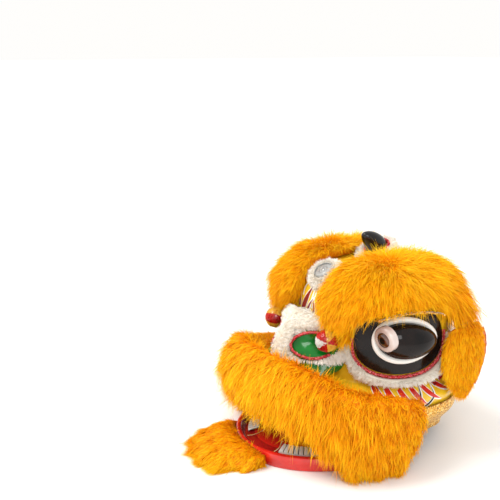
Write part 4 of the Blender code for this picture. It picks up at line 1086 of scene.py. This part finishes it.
# Eyes
def build_eye(side, word):
    def under(share, angle):
        a, b = plate_edge(angle)
        return eye_point(a * share, b * share, 0.0024)

    def over(share, angle):
        a, b = plate_edge(angle)
        return eye_point(a * share, b * share, PLATE_TOP - 0.0012 * max(0.0, share - 0.7) / 0.3)

    rings = (0.2, 0.4, 0.6, 0.8, 0.93, 1.0)
    mound(f"eye_plate_{word}_lacquer", f"eye_plate_{word}", under, over, rings, 72, side, BLACK, "head")

    points, faces = [], []
    steps, profile = 96, 9
    for k in range(steps):
        angle = 2.0 * math.pi * k / steps
        for m in range(profile):
            t = m / (profile - 1)
            a, b = ring_edge(angle, -RING_WIDTH * t)
            arch = RING_DEPTH * math.sin(math.pi * (0.08 + 0.84 * t)) ** 0.7
            points.append(eye_point(a, b, RING_LOW + 0.0004 + arch))
        a, b = ring_edge(angle, -RING_WIDTH)
        points.append(eye_point(a, b, RING_LOW - 0.0008))
        a, b = ring_edge(angle)
        points.append(eye_point(a, b, RING_LOW - 0.0008))
    count = profile + 2
    faces = grid_faces(steps, count, 0, closed=True)
    last = (steps - 1) * count
    faces += [(last + c, last + (c + 1) % count, (c + 1) % count, c) for c in range(count)]
    solid(f"eye_ring_{word}_white", seated(flip(points, side), f"eye_ring_{word}"), faces, [WHITE], "head",
          [f"eye_ring_{word}"])

    def bulb_under(share, angle):
        a, b = ring_edge(angle, -RING_WIDTH - 0.0004)
        return eye_point(a * share, b * share, RING_LOW)

    def bulb_over(share, angle):
        a, b = ring_edge(angle, -RING_WIDTH - 0.0004)
        height = 0.95 * BULB_DEPTH * math.sqrt(max(0.0, 1.0 - share**2.0))
        return eye_point(a * share - 0.006 * (1.0 - share), b * share, RING_LOW + 0.0015 + height)

    rings = tuple(math.sin(0.5 * math.pi * (k + 1) / 16) for k in range(16))
    mound(f"eye_bulb_{word}_black", f"eye_bulb_{word}", bulb_under, bulb_over, rings, 72, side, BLACK, "head")

    aside, down = math.radians(6.0), math.radians(8.0)
    way = np.array((math.sin(aside) * math.cos(down) * side, -math.cos(aside) * math.cos(down),
                    -math.sin(down)))
    seat = node_middle(f"pupil_cup_{word}") - way * 0.0087
    turned(f"pupil_cup_{word}_pearl", [(0.0, 0.0004), (0.029, 0.0004), (0.029, 0.011), (0.0286, 0.0138),
                                       (0.027, 0.0158), (0.024, 0.0166), (0.0175, 0.0170), (0.0168, 0.0145),
                                       (0.0, 0.0145)], seat, way, [CUP], "head", [f"pupil_cup_{word}"],
           56)
    turned(f"iris_{word}_gloss", [(0.0, 0.0149), (0.0165, 0.0149), (0.0165, 0.0172), (0.0150, 0.0188),
                                  (0.0110, 0.0202), (0.0078, 0.0207), (0.0070, 0.0208), (0.0035, 0.0211),
                                  (0.0, 0.0211)], seat, way, [IRIS, BLACK], "head", [f"iris_{word}"],
           56, [0, 0, 0, 0, 0, 1, 1, 1])

    path = []
    for k in range(41):
        angle = math.radians(176.0 + 190.0 * k / 40)
        path.append(eye_point(*plate_edge(angle, TRIM_RADIUS + 0.0011), 0.0024 + TRIM_RADIUS + 0.0010))
    braid(f"eye_trim_{word}_sequins", f"eye_trim_{word}", path, 1.15 * TRIM_RADIUS, side, "head", 31)

    out = normal_at(eye_point(0.0, 0.0))
    rear = unit(np.cross((0.0, 0.0, 1.0), out))
    up = np.cross(out, rear)
    axis = eye_point(0.0, 0.0, LID_AXIS_OUT)
    columns, rows = 73, 9
    points = []
    for i in range(columns):
        a = LID_HALF_LENGTH * (2.0 * i / (columns - 1) - 1.0)
        radius = LID_RADIUS * math.sqrt(1.0 - (a / LID_CROWN) ** 2)
        scallop = math.radians(3.0) * (0.5 + 0.5 * math.cos(2.0 * math.pi * i / 12 + math.pi))
        for j in range(rows):
            share = j / (rows - 1)
            angle = math.radians(83.0) + scallop * (1.0 - share) + math.radians(25.0) * share
            way_out = out * math.cos(angle) + up * math.sin(angle)
            points.append(axis + rear * a + way_out * (radius + 0.001))
    points = np.array(flip(points, side))
    placed = seated(points, f"eyelid_{word}")
    lid = make(f"eyelid_{word}_brocade", placed, turned_faces(grid_faces(columns, rows, 0), side), [BROCADE],
               f"{word}_lid", [f"eyelid_{word}"])
    thicken(lid, LID_WALL)

    wave = []
    for i in range(97):
        a = LID_HALF_LENGTH * 0.97 * (2.0 * i / 96 - 1.0)
        radius = LID_RADIUS * math.sqrt(1.0 - (a / LID_CROWN) ** 2) + 0.0026
        angle = math.radians(90.0) + math.radians(3.2) * math.sin(i * 0.78)
        wave.append(axis + rear * a + (out * math.cos(angle) + up * math.sin(angle)) * radius)
    points, faces = tube_grid(np.array(flip(wave, side)) + (placed[0] - points[0]), 0.0010, 6)
    make(f"eyelid_{word}_squiggle", points, faces, [WHITE], f"{word}_lid")


# Nose
def build_nose():
    def spot(share, angle):
        x, rise = NOSE_HALF_WIDTH * math.cos(angle), NOSE_HALF_HEIGHT * math.sin(angle)
        size = share / nose_size(x, rise)
        return x * size, NOSE_Z + rise * size

    def under(share, angle):
        at = nose_seat(*spot(share, angle))
        return at + normal_at(at) * 0.0044

    def over(share, angle):
        return nose_top(*spot(share, angle))

    rings = tuple(0.04 + 0.96 * (k + 1) / 26 for k in range(26))
    mound("nose_lacquer", "nose", under, over, rings, 96, 1, GREEN, "head")
    for side, word in SIDES:
        path = []
        for k in range(41):
            angle = math.radians(84.0 + 238.0 * k / 40)
            x = NOSTRIL_X + NOSTRIL_HALF_WIDTH * math.cos(angle)
            path.append(nose_top(x, NOSTRIL_Z + NOSTRIL_HALF_HEIGHT * math.sin(angle), 0.0120))
        braid(f"nostril_trim_{word}_sequins", f"nostril_trim_{word}", path, 0.0032, side, "head", 32)
        build_ball(side, word)


def build_ball(side, word):
    """A wool pompom in red, yellow and white wedges."""
    middle = node_middle(f"pom_ball_{word}")
    out = unit((0.80 * side, -0.58, 0.12))
    rng = np.random.default_rng(41)
    count = int(3600 * DENSITY)
    ways = units(rng.normal(0.0, 1.0, (count, 3)))
    aside = unit(np.cross(out, (0.0, 0.0, 1.0)))
    across = np.cross(out, aside)
    turns = np.arctan2(ways @ across, ways @ aside) / (2.0 * math.pi) + 0.5
    wedge = np.floor(turns * 6.0 + 0.35).astype(int) % 6
    kinds = np.array([0, 1, 0, 2, 0, 1])[wedge]
    rough = rng.normal(0.0, 0.0007, count)
    ends = middle + ways * (0.0248 + rough)[:, None]
    roots = middle + ways * 0.0175
    flat = units(np.cross(ways, rng.normal(0.0, 1.0, (count, 3))))
    other = np.cross(ways, flat)
    points = np.stack([roots + flat * 0.0008, roots - flat * 0.0008 + other * 0.0008, ends + flat * 0.0009,
                       ends - flat * 0.0009 + other * 0.0006, ends - flat * 0.0004 - other * 0.0010],
                      axis=1).reshape(-1, 3)
    pattern = [(0, 1, 3), (0, 3, 2), (1, 0, 4), (2, 3, 4), (2, 4, 0), (3, 1, 4)]
    faces = [tuple(k * 5 + i for i in f) for k in range(count) for f in pattern]
    face_kinds = np.repeat(kinds, len(pattern)).tolist()
    core_points = []
    rows, columns = 13, 24
    for r in range(rows):
        lat = math.pi * r / (rows - 1)
        for c in range(columns):
            lon = 2.0 * math.pi * c / columns
            way = np.array((math.sin(lat) * math.cos(lon), math.sin(lat) * math.sin(lon), math.cos(lat)))
            core_points.append(middle + way * 0.0215)
    core_faces = grid_faces(rows, columns, len(points), closed=True)
    everything = [tuple(p) for p in points] + core_points
    make(f"pom_ball_{word}_wool", everything, faces + core_faces, [RED, GOLD_PAINT, WHITE], "head",
         [f"pom_ball_{word}"], face_kinds + [0] * len(core_faces))


# Crown
def crown_pieces():
    tilt = math.radians(30.0)
    across = np.array((1.0, 0.0, 0.0))
    axis = np.array((0.0, -math.sin(tilt), math.cos(tilt)))
    back = np.array((0.0, math.cos(tilt), math.sin(tilt)))
    base = node_middle("horn_trim") - axis * 0.006
    radius = 0.0308
    circle = []
    for row in range(4):
        for k in range(49):
            angle = 2.0 * math.pi * k / 48
            circle.append(base + axis * (0.0016 + 0.0030 * row)
                          + (across * math.cos(angle) + back * math.sin(angle)) * radius)
    braid("horn_trim_sequins", "horn_trim", circle, 0.0022, 1, "head", 33)

    points = []
    shares = np.concatenate((np.linspace(0.0, 0.9, 20), 1.0 - 0.1 * (1.0 - np.linspace(0.1, 1.0, 10)) ** 2))
    steps = 64
    horn_radius, horn_height = 0.0265, 0.052
    for share in shares:
        wide = horn_radius * math.sqrt(max(0.0, 1.0 - min(share, 0.9995) ** 1.8))
        centre = base + axis * (0.0124 + horn_height * share) - back * horn_height * 0.30 * share**2
        points += around(centre, across, back, wide, steps)
    faces = grid_faces(len(shares), steps, 0, closed=True) + end_faces(len(points), steps)
    solid("horn_lacquer", seated(points, "horn"), faces, [HORN_BLACK], "head", ["horn"])

    low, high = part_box("crest_knob")
    knob = np.array((0.5 * (low[0] + high[0]), 0.5 * (low[1] + high[1]), low[2]))
    turned("crest_knob_bead", [(0.0, 0.0), (0.0096, 0.0), (0.0114, 0.003), (0.0120, 0.0060), (0.0114, 0.0100),
                               (0.0098, 0.0140), (0.0072, 0.0176), (0.0040, 0.0194), (0.0, 0.0199)], knob,
           (0.0, 0.0, 1.0), [BLACK, PINK], "head", ["crest_knob"], 40, [0, 0, 0, 0, 0, 1, 1, 1])

    face = skull(0.0, SHOULDER_Z + 0.922 * DOME_RISE)
    out = normal_at(face)
    turned("mirror_disc", [(0.0, -0.0012), (0.0203, -0.0012), (0.0203, 0.0002), (0.0150, 0.0006),
                           (0.0118, 0.0007), (0.0112, 0.0016), (0.0098, 0.0016), (0.0092, 0.0008),
                           (0.0048, 0.0010), (0.0044, 0.0022), (0.0030, 0.0027), (0.0, 0.0028)],
           node_middle("mirror"), out, [SILVER, CHROME], "head", ["mirror"], 64,
           [0, 0, 0, 0, 1, 1, 1, 0, 1, 1, 1])


# Jaw
def build_board():
    columns = 120
    rings = [(0.014, 0.0), (0.006, 0.0), (0.002, 0.0012), (0.0, 0.006), (-0.0024, 0.020), (-0.003, 0.029),
             (-0.0015, 0.033), (0.002, BOARD_RIM_Z + 0.0008), (0.006, BOARD_RIM_Z + 0.0012),
             (0.0095, BOARD_RIM_Z), (0.0112, 0.0315), (0.0135, 0.0265), (0.0165, 0.0222)]
    turns = [math.radians(-97.0 + 194.0 * k / (columns - 1)) for k in range(columns)]
    points = []
    for share in (BOARD_MOUND_SHARE, 0.03):
        points += [board_floor(t, share, -BOARD_WALL) for t in turns]
    for inset, z in rings:
        points += [(*board_edge(t, inset), z) for t in turns]
    for share in (0.0, 0.15, 0.30, BOARD_MOUND_SHARE, 0.45):
        points += [board_floor(t, share) for t in turns]
    count = len(points) // columns
    faces = grid_faces(count, columns, 0, closed=True) + end_faces(len(points), columns)
    # Painted shade: the inner wall below the rim and the edge of the floor inside it take the darker red.
    painted_shade_bands = range(12, 16)
    kinds = [int(r in painted_shade_bands) for r in range(count - 1) for _ in range(columns)] + [0, 0]
    solid("mouth_board_painted", points, faces, [RED, RED_PAINTED_SHADE], "jaw", ["mouth_board"], kinds)
    for side, word in SIDES:
        build_teeth(side, word)
    build_tongue()


def build_teeth(side, word):
    """A row of white teeth with black lines between them, each tooth a little crowned."""
    points, faces, kinds = [], [], []
    start, end = math.radians(22.0), math.radians(78.0)
    for tooth in range(TEETH_COUNT):
        for part, kind in ((0, 0), (1, 1)):
            low = tooth + (0.06 if part == 0 else 0.90)
            high = tooth + (0.90 if part == 0 else 1.06)
            first = len(points)
            for i in range(5):
                turn = start + (end - start) * (low + (high - low) * i / 4) / TEETH_COUNT
                crown = 0.0012 * math.sin(math.pi * i / 4) if part == 0 else -0.0004
                for j in range(6):
                    share = TEETH_LOW + (TEETH_HIGH - TEETH_LOW) * j / 5
                    rim = 0.0 if 0 < j < 5 else -0.0012
                    points.append(board_floor(turn, share, 0.0060 + crown + rim))
            cells = grid_faces(5, 6, first)
            faces += cells
            kinds += [kind] * len(cells)
    skirt_first = len(points)
    for i in range(61):
        turn = start + (end - start) * i / 60
        for share, lift in ((TEETH_LOW, 0.0006), (TEETH_LOW, 0.0046), (TEETH_HIGH, 0.0046),
                            (TEETH_HIGH, 0.0006)):
            points.append(board_floor(turn, share, lift))
    cells = grid_faces(61, 4, skirt_first)
    faces += cells
    kinds += [0] * len(cells)
    make(f"teeth_{word}_painted", flip(points, side), faces, [WHITE, BLACK], "jaw", [f"teeth_{word}"],
         kinds)


def build_tongue():
    rows, columns = 41, 17
    points = []
    for i in range(rows):
        share = i / (rows - 1)
        y = TONGUE_BACK_Y - TONGUE_LENGTH * share
        half = 0.026 + 0.016 * math.sin(math.pi * min(1.0, share * 0.75))
        half -= 0.022 * smooth((share - 0.75) / 0.25)
        for j in range(columns):
            across = j / (columns - 1) * 2.0 - 1.0
            dip = 0.0016 * math.exp(-((across / 0.16) ** 2))
            points.append((half * across, y, BOARD_MOUND_Z + 0.004 + 0.005 * (1.0 - across * across) - dip))
    top = len(points)
    for i in range(rows):
        for j in range(columns):
            x, y, _ = points[i * columns + j]
            points.append((x, y, BOARD_MOUND_Z + 0.0004))
    faces = grid_faces(rows, columns, 0) + grid_faces(rows, columns, top)
    edge = list(range(columns)) + [r * columns + columns - 1 for r in range(1, rows)]
    edge += [(rows - 1) * columns + c for c in range(columns - 2, -1, -1)]
    edge += [r * columns for r in range(rows - 2, 0, -1)]
    faces += [(a, b, b + top, a + top) for a, b in zip(edge, edge[1:] + edge[:1])]
    solid("tongue_painted", points, faces, [RED], "jaw", ["tongue"])

    points, faces, kinds = [], [], []
    for centre in (0.30, -0.30, 1.42, -1.42):
        for kind, half, lift in ((0, 0.008, 0.0006), (1, 0.0045, 0.0010)):
            first = len(points)
            for step in range(12):
                share = 0.02 + 0.30 * step / 11
                turn = centre + 0.04 * math.sin(0.3 * step)
                points += [board_floor(turn - half, share, lift), board_floor(turn + half, share, lift)]
            faces += grid_faces(12, 2, first)
            kinds += [kind] * 11
    make("mouth_lines", points, faces, [WHITE, GOLD_PAINT], "jaw", face_materials=kinds)


# Ears
def build_ear_rim(side, word):
    along, down = ear_ways()
    face = unit(np.cross(down, along))
    face = face if face[0] > 0.0 else -face
    path = []
    for k in range(33):
        share = 0.125 + 0.75 * k / 32
        half = ear_half(share)
        drop, fore = EAR_DROP + EAR_LENGTH * share, EAR_FORWARD - EAR_SWEEP * share
        middle = EAR_HINGE + down * drop + along * fore
        path.append(middle + along * (half + 0.0050) + face * (0.003 - 0.006 * half / EAR_HALF_WIDTH))
    braid(f"ear_rim_{word}_sequins", f"ear_rim_{word}", path, 0.0032, side, f"{word}_ear", 34)


def plain_nodes():
    """Finishes for the CAD nodes that are shown as they are."""
    looks = {"mirror_rim": CHROME}
    for _, word in SIDES:
        looks[f"pom_collar_{word}"] = WHITE
        looks.update({f"{stem}_{word}": WOOD for stem in ("jaw_arm", "jaw_pin", "ear_mount")})
    for name, one in looks.items():
        NODES[name].data.materials.clear()
        NODES[name].data.materials.append(one)


# Stage
def aim(made, way):
    """Turns a light or camera to look along a direction."""
    made.rotation_euler = Vector(way).to_track_quat("-Z", "Y").to_euler()


def build_stage():
    data = bpy.data.meshes.new("floor")
    reach = 60.0
    corners = [(-reach, -reach, 0.0), (reach, -reach, 0.0), (reach, reach, 0.0), (-reach, reach, 0.0)]
    data.from_pydata(corners, [], [(0, 1, 2, 3)])
    floor = add_object("floor", data)
    data.materials.append(material("floor_paper", (0.93, 0.925, 0.915), 0.8, Specular_IOR_Level=0.1))

    world = bpy.data.worlds.new("studio")
    bpy.context.scene.world = world
    world.use_nodes = True
    world.node_tree.nodes["Background"].inputs["Color"].default_value = (1.0, 0.99, 0.97, 1.0)
    world.node_tree.nodes["Background"].inputs["Strength"].default_value = 1.0
    sun = bpy.data.lights.new("key", "SUN")
    sun.energy = 2.0
    sun.angle = math.radians(28.0)
    sun.color = (1.0, 0.98, 0.94)
    aim(add_object("key", sun), (0.35, 0.55, -0.95))
    lamp = bpy.data.lights.new("side", "AREA")
    lamp.size = 0.8
    lamp.energy = 14.0
    made = add_object("side", lamp)
    made.location = (1.7, -1.0, 1.7)
    aim(made, Vector((0.0, 0.0, 0.2)) - made.location)

    camera = bpy.data.cameras.new("camera")
    camera.lens = CAMERA_LENS
    camera.sensor_width = 36.0
    made = add_object("camera", camera)
    made.location = CAMERA_PLACE
    aim(made, CAMERA_WAY)
    bpy.context.scene.camera = made
    bpy.context.scene.view_settings.view_transform = "Standard"


build_shell()
build_cloth()
build_paint()
for eye_side, eye_word in SIDES:
    build_eye(eye_side, eye_word)
    build_ear_rim(eye_side, eye_word)
build_nose()
crown_pieces()
build_board()
build_fur()
plain_nodes()
build_stage()
